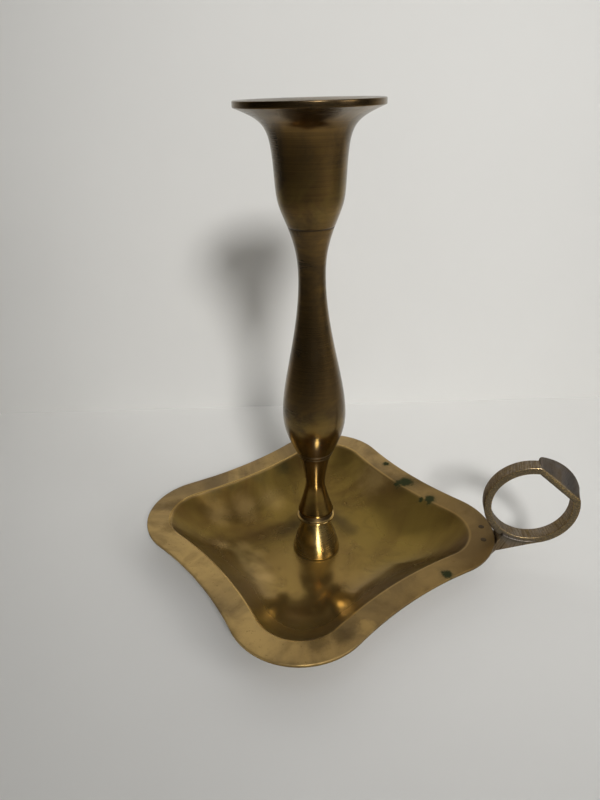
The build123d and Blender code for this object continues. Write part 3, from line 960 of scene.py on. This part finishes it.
class MakeFoot(PieceOperator, bpy.types.Operator):
    """Turns the bell foot, the collar and the lower spindle"""

    bl_idname = "chamberstick.make_foot"
    bl_label = "Bell, collar and spindle"

    def execute(self, context):
        stem, brass = self.stick.stem, self.stick.brass
        levels = stem_levels(self.stick)
        bright = turned_material(
            "Polished bell brass", brass, brass.clean, brass.brown, cover=0.7, roughness=0.20, marks=0.02
        )
        shiny = turned_material(
            "Shiny spindle brass", brass, brass.russet, brass.umber, cover=0.5, roughness=0.15, marks=0.10
        )
        dark = turned_material(
            "Coved collar brass", brass, brass.rubbed, brass.umber, cover=0.8, roughness=0.14, marks=0.05
        )
        self.bell(stem, levels, bright)
        self.collar(stem, levels, dark)
        self.spindle(stem, levels, self.stick.hardware.stud_grip + stem.end_gap, shiny)
        return {"FINISHED"}

    @staticmethod
    def bell(stem, levels, material):
        """The hollow bell on the dish floor."""
        low, high = levels["floor"], levels["bell"]
        edge = (stem.bell_base_radius, low + stem.bell_round)
        base = rounded(
            [(stem.bell_recess, low), (stem.bell_base_radius, low), edge], [stem.bell_round * 0.999], 8
        )
        flank = hermite(base[-1], (stem.bell_top_radius, high), (-0.18, 1), (-0.42, 1), (1.0, 1.0), 40)
        seat = levels["seat"]
        inside = [(stem.bore_radius, high), (stem.bore_radius, seat), (stem.bell_recess, seat)]
        mesh = turned("turned_bell_foot", base[:-1] + flank + inside)
        # a thin dark line where the bell stands on the dish: partly a dark joint, partly painted shade
        paint(mesh, "seam", near_height(low, SEAM_SPREAD))
        finish_piece(mesh, material, "foot_brass", "bell_foot")

    @staticmethod
    def collar(stem, levels, material):
        """The ring with a bead below and a cove above, painted dark as shade under the spindle's foot."""
        low, high = levels["bell"], levels["collar"]
        half = stem.collar_bead_height / 2
        middle = stem.collar_bead_radius - half
        bead = [
            (middle + half * math.cos(a), low + half + half * math.sin(a))
            for a in (math.radians(-90 + 180 * step / 14) for step in range(15))
        ]
        cove = hermite(bead[-1], (stem.collar_neck_radius, high), (-1, 0.15), (-0.15, 1), (0.8, 0.8), 10)
        section = [(stem.bore_radius, high), (stem.bore_radius, low)] + bead + cove
        mesh = turned("coved_collar", section)
        cove_start = low + stem.collar_bead_height + 0.0001
        # painted shade: the whole cove is painted dark
        paint(mesh, "seam", lambda place: 1.0 if place.z > cove_start else 0.0)
        finish_piece(mesh, material, "collar_brass", "foot_collar")

    @staticmethod
    def spindle(stem, levels, depth, material):
        """The lower neck, with a hole of the given depth for the stud."""
        low, high = levels["collar"], levels["spindle"]
        edge = low + stem.spindle_foot_edge
        waist = (stem.spindle_waist_radius, low + stem.spindle_waist_height)
        hole = stem.bore_radius - stem.thread_clearance
        section = [(0, low + depth), (hole, low + depth), (hole, low), (stem.spindle_foot_radius, low)]
        section.append((stem.spindle_foot_radius, edge))
        section += hermite(section[-1], waist, (-0.36, 1), UPRIGHT, (1.0, 0.5), 44)
        knop = (stem.knop_foot_radius, high)
        section += hermite(waist, knop, UPRIGHT, (0.55, 1), (0.46, 0.57), 44)[:-1]
        section.append((stem.knop_foot_radius - stem.seam_cut, high))
        section += [(stem.spigot_radius, high), (stem.spigot_radius, high + stem.spigot_length)]
        section.append((0, high + stem.spigot_length))
        mesh = turned("lower_spindle", section, closed_rows=False)
        paint(mesh, "seam", near_height(high, SEAM_SPREAD))
        # a lighter olive tone on the spindle, fading up from its foot's edge
        paint(mesh, "rub", near_height(edge, 0.0140))
        finish_piece(mesh, material, "foot_brass", "foot_spindle")


class MakeStem(PieceOperator, bpy.types.Operator):
    """Turns the pear baluster and the candle cup"""

    bl_idname = "chamberstick.make_stem"
    bl_label = "Baluster and cup"

    def execute(self, context):
        stem, brass = self.stick.stem, self.stick.brass
        levels = stem_levels(self.stick)
        tones = brass.russet, brass.umber
        tarnished = turned_material(
            "Tarnished turned brass", brass, *tones, cover=0.9, roughness=0.17, marks=0.30, lacquer=0.25
        )
        self.baluster(stem, levels, tarnished)
        self.cup(stem, levels, tarnished)
        return {"FINISHED"}

    @staticmethod
    def baluster(stem, levels, material):
        """The pear with its scribed line, and the long neck."""
        low, high = levels["spindle"], levels["baluster"]
        cut = stem.seam_cut
        hole = stem.spigot_radius + stem.thread_clearance
        depth = stem.spigot_length + stem.end_gap
        foot = (stem.knop_foot_radius, low)
        belly = (stem.belly_radius, low + stem.belly_height)
        neck = (stem.neck_radius, low + stem.neck_height)
        top = (stem.cup_foot_radius, high)
        flank = hermite(foot, belly, (0.425, 1), UPRIGHT, (1.1, 1.17), 60)
        flank += hermite(belly, neck, UPRIGHT, UPRIGHT, (0.75, 1.11), 90)
        flank += hermite(neck, top, UPRIGHT, (0.376, 1), (1.1, 1.1), 40)[:-1]
        line = low + stem.band_height
        flank = [point for point in flank if abs(point[1] - line) > cut * 1.1 and point[1] > low + cut]
        at = next(i for i, point in enumerate(flank) if point[1] > line)
        radius = (flank[at - 1][0] + flank[at][0]) / 2
        lower, upper = (radius - cut * 0.5, line - cut), (radius + cut * 0.5, line + cut)
        flank[at:at] = [lower, (radius - cut, line), upper]
        section = [(0, low + depth), (hole, low + depth), (hole, low), (foot[0] - cut, low)]
        section.append((foot[0] + cut * 0.4, low + cut))
        section += flank
        section += [(top[0] - cut * 0.5, high), (hole, high), (hole, high - depth), (0, high - depth)]
        mesh = turned("pear_baluster", section, closed_rows=False)
        spreads = ((low, SEAM_SPREAD), (line, 0.00035), (high, HAIRLINE_SPREAD))
        lines = [near_height(height, spread) for height, spread in spreads]
        paint(mesh, "seam", lambda place: min(1.0, sum(rule(place) for rule in lines)))
        # a lighter olive tone round the pear's lower part
        paint(mesh, "rub", near_height(low + 0.015, 0.010))
        finish_piece(mesh, material, "stem_brass", "baluster")

    @staticmethod
    def cup(stem, levels, material):
        """The tulip cup with its lip, candle bore and spigot."""
        low, high = levels["baluster"], levels["cup"]
        foot = (stem.cup_foot_radius, low)
        waist = (stem.cup_waist_radius, low + stem.cup_waist_height)
        under_lip = (stem.lip_radius, high - stem.lip_edge)
        bore_floor = low + stem.candle_bore_floor
        mouth = (stem.candle_radius, bore_floor + stem.candle_bore_length)
        lean = (0.055, 1)
        flank = hermite(foot, waist, (0.397, 1), lean, (1.34, 1.5), 44)
        flank += hermite(waist, under_lip, lean, (1, 0.4), (1.94, 1.3), 64)
        inner = hermite((stem.lip_radius, high), mouth, (-1, -0.12), (0, -1), (1.5, 1.5), 48)
        lip = rounded([flank[-2], under_lip, (stem.lip_radius, high), inner[1]], [stem.lip_round] * 2, 5)
        deep = stem.bore_end_depth
        ball = (stem.candle_radius**2 + deep**2) / (2 * deep)
        sweep = math.asin(stem.candle_radius / ball)
        round_end = [
            (ball * math.sin(a), bore_floor - deep + ball * (1 - math.cos(a)))
            for a in (sweep * (1 - step / 24) for step in range(1, 25))
        ]
        spigot = [(0, low - stem.spigot_length), (stem.spigot_radius, low - stem.spigot_length)]
        spigot += [(stem.spigot_radius, low), (foot[0] - stem.seam_cut * 0.5, low)]
        wall = stretch(mouth, (stem.candle_radius, bore_floor), 24)
        section = spigot + flank[:-2] + lip + inner[2:] + wall + round_end
        mesh = turned("tulip_candle_cup", section, closed_rows=False)
        outside = len(section) - len(wall) - len(round_end)
        seams_and_shade = [fade(height - low, HAIRLINE_SPREAD) for _, height in section[:outside]]
        # painted shade: the candle bore is painted darker the deeper it goes
        seams_and_shade += [0.8 * min(1.0, (mouth[1] - height) / 0.01) for _, height in section[outside:]]
        paint_rows(mesh, "seam", section, seams_and_shade)
        # a lighter olive tone round the cup's lower part
        paint(mesh, "rub", near_height(low + 0.010, 0.008))
        finish_piece(mesh, material, "stem_brass", "candle_cup")


class MakeHardware(PieceOperator, bpy.types.Operator):
    """Makes the threaded stud, the washer and the nut"""

    bl_idname = "chamberstick.make_hardware"
    bl_label = "Stud, washer and nut"

    def execute(self, context):
        hardware, stem, brass = self.stick.hardware, self.stick.stem, self.stick.brass
        levels = stem_levels(self.stick)
        tones = brass.olive, brass.brown
        dull = turned_material(
            "Dull hardware brass", brass, *tones, cover=0.8, roughness=0.34, marks=0.2, bare=0.85
        )
        washer_low = self.stick.tray.seat_height - hardware.washer_thickness
        nut_low = washer_low - hardware.nut_height
        self.stud(hardware, nut_low - hardware.stud_tail, levels["collar"] + hardware.stud_grip, dull)
        self.washer(hardware, washer_low, stem.bore_radius, dull)
        self.nut(hardware, nut_low, hardware.stud_radius + stem.thread_clearance, dull)
        return {"FINISHED"}

    @staticmethod
    def stud(hardware, low, high, material):
        """The stud, whose thread fades out at both ends."""
        around, per_pitch = 48, 10
        count = int(round((high - low) / hardware.thread_pitch * per_pitch))
        rows = [[Vector((0, 0, low))]]
        for step in range(count + 1):
            height = low + (high - low) * step / count
            end = min(height - low, high - height) / (hardware.thread_depth * 2)
            row = []
            for i in range(around):
                phase = (height / hardware.thread_pitch - i / around) % 1.0
                cut = abs(2 * phase - 1) * hardware.thread_depth
                radius = hardware.stud_radius - max(cut, (1 - min(1.0, end)) * hardware.thread_depth)
                row.append(round_axis(radius, math.tau * i / around, height))
            rows.append(row)
        rows.append([Vector((0, 0, high))])
        mesh = mesh_from_rows("threaded_stud", rows, closed_rows=False)
        paint(mesh, "seam", lambda place: 0.6 * (math.hypot(place.x, place.y) < hardware.stud_radius * 0.9))
        finish_piece(mesh, material, "hardware_brass", "fixing_stud")

    @staticmethod
    def washer(hardware, low, hole, material):
        """The flat washer with broken edges."""
        high = low + hardware.washer_thickness
        edge = hardware.washer_thickness * 0.2
        outer = hardware.washer_radius
        section = [(hole, low), (outer - edge, low), (outer, low + edge), (outer, high - edge)]
        section += [(outer - edge, high), (hole, high)]
        mesh = turned("flat_washer", section, segments=96)
        paint(mesh, "seam", near_height(high, 0.0002))
        finish_piece(mesh, material, "hardware_brass", "stud_washer")

    @staticmethod
    def nut(hardware, low, hole, material):
        """The hexagon nut with its corners turned off."""
        high = low + hardware.nut_height
        flat = hardware.nut_flats / 2
        corner = flat / math.cos(math.pi / 6)
        crown, slope = flat * 0.98, 0.55
        bevel, around, steps = 0.0003, 120, 6

        def ring(limit, height):
            """A row round the hexagon, cut off where it would pass the limit."""
            row = []
            for i in range(around):
                turn = math.tau * i / around
                side = (turn + math.pi / 6) % (math.pi / 3) - math.pi / 6
                row.append(round_axis(min(flat / math.cos(side), limit), turn, height))
            return row

        cuts = [(corner - crown) * step / steps for step in range(steps + 1)]
        rows = [ring(hole + bevel, low)]
        rows += [ring(crown + cut, low + cut * slope) for cut in cuts]
        rows += [ring(crown + cut, high - cut * slope) for cut in reversed(cuts)]
        rows += [ring(hole + bevel, high), ring(hole, high - bevel), ring(hole, low + bevel)]
        mesh = mesh_from_rows("hexagon_nut", rows)
        paint(mesh, "seam", lambda place: 0.5 * (math.hypot(place.x, place.y) < hole + 0.0002))
        finish_piece(mesh, material, "hardware_brass", "stud_nut")


def loop_middle(stick):
    """The middle of the finger loop."""
    reach = stick.tray.corner_reach + stick.loop.overreach
    return Vector((reach, 0, stick.tray.height + stick.loop.lift))


def paint_curved(mesh, middle, reach):
    """Marks the faces that look towards or away from the loop's axis, and all that lies beyond reach."""
    values = []
    for vertex, normal in zip(mesh.vertices, mesh.vertex_normals):
        out = Vector((vertex.co.x - middle.x, 0, vertex.co.z - middle.z))
        facing = abs(out.normalized().dot(normal.vector)) * 1.2
        values.append(1.0 if out.length > reach else min(1.0, facing))
    store(mesh, "curved", values)


def geometry_tree(name, inputs):
    """A new Geometry Nodes tree with named inputs of the given kinds and one output."""
    nodes = bpy.data.node_groups.new(name, "GeometryNodeTree")
    for label, kind in inputs.items():
        nodes.interface.new_socket(name=label, in_out="INPUT", socket_type="NodeSocket" + kind)
    nodes.interface.new_socket(name="Geometry", in_out="OUTPUT", socket_type="NodeSocketGeometry")
    tree = Tree(nodes)
    return tree, tree.add("NodeGroupInput").outputs


def end_tree(tree, shape, finish):
    """Ends a Geometry Nodes tree with real geometry in its material."""
    real = tree.add("GeometryNodeRealizeInstances", {"Geometry": shape}).outputs[0]
    finished = tree.add("GeometryNodeSetMaterial", {"Geometry": real, "Material": finish}).outputs[0]
    tree.add("NodeGroupOutput", {"Geometry": finished})
    return tree.nodes


def band_tree():
    """Geometry Nodes that sweep a rounded bar along an arc: the loop's band."""
    inputs = dict.fromkeys(("Radius", "Thickness", "Width", "Edge round", "Start", "Sweep"), "Float")
    inputs.update({"Steps": "Int", "Middle": "Vector", "Finish": "Material"})
    tree, given = geometry_tree("Loop band", inputs)
    values = {"Resolution": given["Steps"], "Radius": given["Radius"]}
    values.update({"Start Angle": given["Start"], "Sweep Angle": given["Sweep"]})
    arc = tree.add("GeometryNodeCurveArc", values).outputs[0]
    values = {"Width": given["Thickness"], "Height": given["Width"]}
    bar = tree.add("GeometryNodeCurvePrimitiveQuadrilateral", values).outputs[0]
    values = {"Curve": bar, "Radius": given["Edge round"], "Limit Radius": True, "Count": 4}
    soft = tree.add("GeometryNodeFilletCurve", values, mode="POLY").outputs[0]
    values = {"Curve": arc, "Profile Curve": soft, "Fill Caps": True}
    swept = tree.add("GeometryNodeCurveToMesh", values).outputs[0]
    values = {"Geometry": swept, "Translation": given["Middle"], "Rotation": (math.pi / 2, 0, 0)}
    stood = tree.add("GeometryNodeTransform", values).outputs[0]
    return end_tree(tree, stood, given["Finish"])


def rivet_tree():
    """Geometry Nodes that set copies of one rivet in a row."""
    inputs = {"Geometry": "Geometry", "Count": "Int", "First": "Vector", "Step": "Vector"}
    inputs["Finish"] = "Material"
    tree, given = geometry_tree("Rivet row", inputs)
    values = {"Count": given["Count"], "Start Location": given["First"], "Offset": given["Step"]}
    places = tree.add("GeometryNodeMeshLine", values, mode="OFFSET").outputs[0]
    values = {"Points": places, "Instance": given["Geometry"]}
    copies = tree.add("GeometryNodeInstanceOnPoints", values).outputs[0]
    return end_tree(tree, copies, given["Finish"])


def run_tree(name, mesh, nodes, values):
    """The mesh that a Geometry Nodes tree makes from a mesh and named values."""
    carrier = put_in_scene(name, mesh)
    modifier = carrier.modifiers.new("Shape", "NODES")
    modifier.node_group = nodes
    for item in nodes.interface.items_tree:
        if item.in_out == "INPUT" and item.name in values:
            modifier[item.identifier] = values[item.name]
    return plain_mesh(carrier, name)


class MakeLoop(PieceOperator, bpy.types.Operator):
    """Makes the finger loop with its tongue, and the thumb plate"""

    bl_idname = "chamberstick.make_loop"
    bl_label = "Finger loop and thumb plate"

    tongue_corner = 0.003
    tongue_round = 0.0006
    plate_bevel = 0.00035

    def execute(self, context):
        loop, brass = self.stick.loop, self.stick.brass
        middle = loop_middle(self.stick)
        filed = loop_material("Filed loop brass", brass, roughness=0.34, cut=0.7, middle=middle)
        smoother = loop_material("Thumb plate brass", brass, roughness=0.36, cut=0.15, middle=middle)
        self.band(loop, middle, filed)
        self.plate(loop, middle, smoother)
        return {"FINISHED"}

    def band(self, loop, middle, material):
        """The band, swept along its arc and joined with the tongue."""
        values = {
            "Radius": loop.bore_radius + loop.thickness / 2,
            "Thickness": loop.thickness,
            "Width": loop.width,
            "Edge round": loop.edge_round,
            "Start": loop.thumb_end,
            "Sweep": math.tau - (loop.thumb_end - loop.thumb_start),
            "Steps": 180,
            "Middle": tuple(middle),
            "Finish": material,
        }
        mesh = run_tree("finger_loop", bpy.data.meshes.new("band_seed"), band_tree(), values)
        band = put_in_scene("finger_loop", mesh)
        tongue = put_in_scene("tongue", self.tongue(loop, middle))
        join = band.modifiers.new("Tongue", "BOOLEAN")
        join.operation = "UNION"
        join.solver = "EXACT"
        join.object = tongue
        joined = plain_mesh(band, "finger_loop")
        bpy.data.objects.remove(tongue)
        # the band's edges, painted pale: partly wear, partly painted highlight
        paint(joined, "edge", self.edge_rule(loop, middle))
        reach = loop.bore_radius + loop.thickness + 0.0004
        paint_curved(joined, middle, reach)
        paint(joined, "tongue", lambda place: math.hypot(place.x - middle.x, place.z - middle.z) > reach)
        finish_piece(joined, material, "loop_brass", "finger_ring")

    def tongue(self, loop, middle):
        """The tongue as rounded slices along X, from under the rim to the band's underside."""

        def on_ring(radius, turn):
            return Vector((middle.x + radius * math.cos(turn), middle.z + radius * math.sin(turn)))

        tray = self.stick.tray
        top = tray.height - tray.sheet
        low = top - loop.tongue_thickness
        start = tray.corner_reach - loop.tongue_inset
        toe = Vector((tray.corner_reach + loop.tongue_toe, low))
        outer = loop.bore_radius + loop.thickness
        to_ring = Vector((middle.x, middle.z)) - toe
        touch_angle = math.atan2(to_ring.y, to_ring.x) + math.pi + math.acos(outer / to_ring.length)
        touch = on_ring(outer, touch_angle)
        spread_end = tray.corner_reach - loop.rivet_inset / 2
        heart = loop.bore_radius + loop.thickness / 2
        web = Vector((tray.corner_reach + loop.web_gap, tray.height))
        web_end = on_ring(heart, loop.web_angle)
        corner = self.tongue_corner
        rows = []
        stations = [start + 0.0002, start + 0.0008, start + 0.0018, start + corner, spread_end]
        stations += [spread_end + (web.x - spread_end) * step / 6 for step in range(1, 6)]
        stations += [web.x - 1e-6, web.x, web.x + 0.0004, toe.x]
        stations += [toe.x + (touch.x - toe.x) * step / 24 for step in range(1, 25)]
        for x in stations:
            if x <= spread_end:
                inset = max(0.0, corner - (x - start))
                half = loop.tongue_spread / 2 - (corner - math.sqrt(max(0.0, corner**2 - inset**2)))
            elif x <= toe.x:
                share = (x - spread_end) / (toe.x - spread_end)
                share = share * share * (3 - 2 * share)
                half = loop.tongue_spread / 2 + share * (loop.tongue_width - loop.tongue_spread) / 2
            else:
                share = (x - toe.x) / (touch.x - toe.x)
                half = loop.tongue_width / 2 + share * (loop.width * 0.98 - loop.tongue_width) / 2
            under = low if x <= toe.x else low + (touch.y - low) * (x - toe.x) / (touch.x - toe.x)
            over = top if x < web.x else web.y
            if x > web.x:
                inside = middle.z - math.sqrt(heart**2 - (x - middle.x) ** 2)
                slope = web.y + (x - web.x) * (web_end.y - web.y) / (web_end.x - web.x)
                over = min(inside, slope) if x < web_end.x else inside
            soft = min(self.tongue_round, (over - under) * 0.3)
            rows.append(self.slice(x, half, under, over, soft))
        first, last = rows[0], rows[-1]
        rows.insert(0, [sum(first, Vector()) / len(first)])
        rows.append([sum(last, Vector()) / len(last)])
        return mesh_from_rows("tongue", rows, closed_rows=False)

    @staticmethod
    def edge_rule(loop, middle):
        """A rule that is one on the band's four edges, and less where the tongue joins."""
        outer = loop.bore_radius + loop.thickness
        joint_top = middle.z - 0.55 * outer
        joint_reach = outer - 0.001

        def rule(place):
            radius = math.hypot(place.x - middle.x, place.z - middle.z)
            side = abs(abs(place.y) - loop.width / 2)
            rim = min(abs(radius - loop.bore_radius), abs(radius - outer))
            joined = radius > joint_reach and place.x < middle.x and place.z < joint_top
            return (0.25 if joined else 1.0) * fade(math.hypot(side, rim), 0.0004)

        return rule

    @staticmethod
    def slice(x, half, under, over, soft):
        """One slice of the tongue: a rectangle with rounded corners."""
        points = []
        corners = ((half, over, 0), (-half, over, 90), (-half, under, 180), (half, under, 270))
        for y, z, begin in corners:
            inner = Vector((y - math.copysign(soft, y), z - soft if z == over else z + soft))
            for step in range(5):
                a = math.radians(begin + 90 * step / 4)
                points.append(Vector((x, inner.x + soft * math.cos(a), inner.y + soft * math.sin(a))))
        return points

    def plate(self, loop, middle, material):
        """A block that is straight along the near side of the loop and bowed out along the far side."""
        inner, outer = loop.bore_radius, loop.bore_radius + loop.thickness
        bow = outer + loop.thumb_stand
        near, far = -loop.width / 2, loop.width / 2 + loop.thumb_overhang
        along, across = 60, 8
        first, last = loop.thumb_start, loop.thumb_end
        length = outer * (last - first)

        def on_ring(radius, turn, y):
            return Vector((middle.x + radius * math.cos(turn), y, middle.z + radius * math.sin(turn)))

        def on_chord(radius, share, y):
            return on_ring(radius, first, y).lerp(on_ring(radius, last, y), share)

        rows = []
        for step in range(along + 1):
            share = step / along
            turn = first + (last - first) * share
            short = max(0.0, loop.thumb_stand - min(share, 1 - share) * length)
            drop = loop.thumb_stand - math.sqrt(loop.thumb_stand**2 - short**2)
            top_near, top_far = on_chord(outer, share, near), on_ring(bow - 0.9 * drop, turn, far)
            low_near, low_far = on_chord(inner, share, near), on_chord(inner, share, far)
            row = [top_near.lerp(top_far, i / across) for i in range(across + 1)]
            row += [low_far.lerp(low_near, i / across) for i in range(across + 1)]
            rows.append(row)
        block = put_in_scene("thumb_rest", mesh_from_rows("thumb_rest", rows, closed_rows=False, caps=True))
        bevel = block.modifiers.new("Edges", "BEVEL")
        bevel.width = self.plate_bevel
        bevel.segments = 3
        bevel.limit_method = "ANGLE"
        bevel.angle_limit = math.radians(35)
        mesh = plain_mesh(block, "thumb_rest")
        # painted highlight along the plate's upper near edge
        paint(mesh, "edge", self.plate_edge(loop, middle, near))
        paint_curved(mesh, middle, 1.0)
        finish_piece(mesh, material, "plate_brass", "thumb_plate")

    @staticmethod
    def plate_edge(loop, middle, near):
        """A rule that is one on the plate's upper near edge, where a painted highlight goes."""
        chord = (loop.bore_radius + loop.thickness) * math.cos((loop.thumb_end - loop.thumb_start) / 2)
        turn = (loop.thumb_start + loop.thumb_end) / 2
        out = Vector((math.cos(turn), math.sin(turn)))

        def rule(place):
            high = (place.x - middle.x) * out.x + (place.z - middle.z) * out.y - chord
            return fade(math.hypot(place.y - near, high), 0.0005)

        return rule


class MakeRivets(PieceOperator, bpy.types.Operator):
    """Sets the row of rivets through rim and tongue"""

    bl_idname = "chamberstick.make_rivets"
    bl_label = "Rivets"

    crown = 0.00012

    def execute(self, context):
        loop, tray, brass = self.stick.loop, self.stick.tray, self.stick.brass
        tones = brass.brown, brass.umber
        finish = turned_material(
            "Peened rivet brass", brass, *tones, cover=0.9, roughness=0.34, marks=0.1, bare=0.75
        )
        radius = loop.rivet_radius
        high = tray.height + self.crown
        low = tray.height - tray.sheet - loop.tongue_thickness
        tip = (0, low - loop.rivet_head_height)
        section = [(0, high), (radius * 0.6, high - self.crown / 4)]
        section += [(radius * 0.92, high - self.crown * 0.75), (radius, tray.height - 0.0002)]
        section += [(radius, low), (loop.rivet_head_radius, low)]
        section += hermite(section[-1], tip, (0, -1), (-1, 0), (1.2, 1.2), 12)
        seed = turned("rivet", section, closed_rows=False, segments=48)
        values = {
            "Count": loop.rivet_count,
            "First": (tray.corner_reach - loop.rivet_inset, -loop.rivet_spacing / 2, 0.0),
            "Step": (0.0, loop.rivet_spacing, 0.0),
            "Finish": finish,
        }
        mesh = run_tree("flush_rivets", seed, rivet_tree(), values)
        paint(mesh, "seam", lambda place: 0.5 * fade(place.z - tray.height, self.crown))
        finish_piece(mesh, finish, "rivet_brass", "tongue_rivets")
        return {"FINISHED"}


LAMPS = (
    # name, kind, place, aim and settings
    (
        "catch light",
        "AREA",
        (0.0117, -0.0360, 0.0115),
        (0.002, -0.0060, 0.0280),
        {"energy": 0.0026, "shape": "ELLIPSE", "size": 0.009, "size_y": 0.024, "spread": math.radians(110)},
    ),
    (
        "key lamp",
        "SPOT",
        (0.40, -1.00, 0.82),
        (0.03, 0.14, 0.14),
        {"energy": 58.0, "shadow_soft_size": 0.12, "spot_size": math.radians(34), "spot_blend": 1.0},
    ),
    ("right fill", "AREA", (0.85, -0.40, 0.45), (0.06, -0.04, 0.0), {"energy": 1.8, "size": 0.35}),
    (
        "front lamp",
        "SPOT",
        (0.15, -1.03, 0.80),
        (0, -0.01, 0.015),
        {"energy": 4.0, "shadow_soft_size": 0.16, "spot_size": math.radians(11), "spot_blend": 1.0},
    ),
    ("overhead", "AREA", (0.45, -0.30, 1.5), (0.05, 0, 0), {"energy": 4.0, "size": 1.6}),
)


class SetStage(PieceOperator, bpy.types.Operator):
    """Sets the floor, the backdrop, the lamps and the camera"""

    bl_idname = "chamberstick.set_stage"
    bl_label = "Stage"

    def execute(self, context):
        stage = self.stick.stage
        scene = context.scene
        scene.view_settings.view_transform = "Standard"
        self.surfaces(stage)
        self.camera(scene, stage)
        self.lamps(scene, stage)
        return {"FINISHED"}

    @staticmethod
    def level_axes(stage):
        """Level directions away from the camera and to its right."""
        away = Vector((-math.sin(stage.camera_heading), math.cos(stage.camera_heading), 0))
        return away, Vector((away.y, -away.x, 0))

    def surfaces(self, stage):
        """The floor and the backdrop."""
        away, right = self.level_axes(stage)
        foot = away * stage.backdrop_distance
        wide = right * 1.6
        plan = (
            ("floor", stage.floor, foot - away * 2.4, foot + away * 1.2),
            ("backdrop", stage.backdrop, foot, foot + Vector((0, 0, 1.1))),
        )
        for name, tone, near, far in plan:
            mesh = bpy.data.meshes.new(name)
            mesh.from_pydata([near - wide, near + wide, far + wide, far - wide], [], [(0, 1, 2, 3)])
            mesh.materials.append(studio_material("Matt " + name, tuple(tone)))
            item = put_in_scene(name, mesh)

    def camera(self, scene, stage):
        """The camera, from its heading, pitch and roll."""
        away, right = self.level_axes(stage)
        up = Vector((0, 0, 1))
        forward = away * math.cos(stage.camera_pitch) - up * math.sin(stage.camera_pitch)
        above = away * math.sin(stage.camera_pitch) + up * math.cos(stage.camera_pitch)
        roll = stage.camera_roll
        x_axis = right * math.cos(roll) + above * math.sin(roll)
        y_axis = above * math.cos(roll) - right * math.sin(roll)
        data = bpy.data.cameras.new("camera")
        data.sensor_fit = "VERTICAL"
        data.sensor_height = 36
        data.lens = data.sensor_height * stage.camera_focus / 800
        data.clip_start = 0.005
        scene.camera = put_in_scene("camera", data)
        basis = Matrix((x_axis, y_axis, -forward)).transposed().to_4x4()
        scene.camera.matrix_world = Matrix.Translation(Vector(stage.camera_place)) @ basis

    @staticmethod
    def lamps(scene, stage):
        """The dim room and the lamps."""
        world = bpy.data.worlds.new("room")
        world.use_nodes = True
        world.node_tree.nodes["Background"].inputs["Color"].default_value = rgba(stage.room)
        scene.world = world
        for name, kind, place, aim, settings in LAMPS:
            data = bpy.data.lights.new(name, kind)
            for key, value in settings.items():
                setattr(data, key, value)
            lamp = put_in_scene(name, data)
            lamp.location = place
            lamp.rotation_euler = (Vector(aim) - Vector(place)).to_track_quat("-Z", "Y").to_euler()


class ChamberstickSettings(bpy.types.PropertyGroup):
    """Everything that a user may change."""

    tray: PointerProperty(type=TraySizes)
    stem: PointerProperty(type=StemSizes)
    loop: PointerProperty(type=LoopSizes)
    hardware: PointerProperty(type=HardwareSizes)
    brass: PointerProperty(type=BrassColours)
    stage: PointerProperty(type=StageSettings)


class ChamberstickPanel(bpy.types.Panel):
    """Lists the pieces of the chamberstick"""

    bl_idname = "VIEW3D_PT_chamberstick"
    bl_label = "Chamberstick"
    bl_space_type = "VIEW_3D"
    bl_region_type = "UI"
    bl_category = "Chamberstick"

    def draw(self, context):
        for operator in OPERATORS:
            self.layout.operator(operator.bl_idname)
        stick = context.scene.chamberstick
        for label in ("tray", "stem", "loop", "hardware", "brass", "stage"):
            box = self.layout.box()
            box.label(text=label.title())
            group = getattr(stick, label)
            for name in group.__annotations__:
                box.prop(group, name)


OPERATORS = (MakeTray, MakeFoot, MakeStem, MakeHardware, MakeLoop, MakeRivets, SetStage)
GROUPS = (TraySizes, StemSizes, LoopSizes, HardwareSizes, BrassColours, StageSettings, ChamberstickSettings)
CLASSES = GROUPS + OPERATORS + (ChamberstickPanel,)


def register():
    """Makes the classes known to Blender."""
    for item in CLASSES:
        bpy.utils.register_class(item)
    bpy.types.Scene.chamberstick = PointerProperty(type=ChamberstickSettings)


def unregister():
    """Takes the classes away again."""
    del bpy.types.Scene.chamberstick
    for item in reversed(CLASSES):
        bpy.utils.unregister_class(item)


def main():
    """Builds every piece and the stage."""
    register()
    make_groups()
    bpy.ops.chamberstick.make_tray()
    bpy.ops.chamberstick.make_foot()
    bpy.ops.chamberstick.make_stem()
    bpy.ops.chamberstick.make_hardware()
    bpy.ops.chamberstick.make_loop()
    bpy.ops.chamberstick.make_rivets()
    bpy.ops.chamberstick.set_stage()


if __name__ == "__main__":
    main()
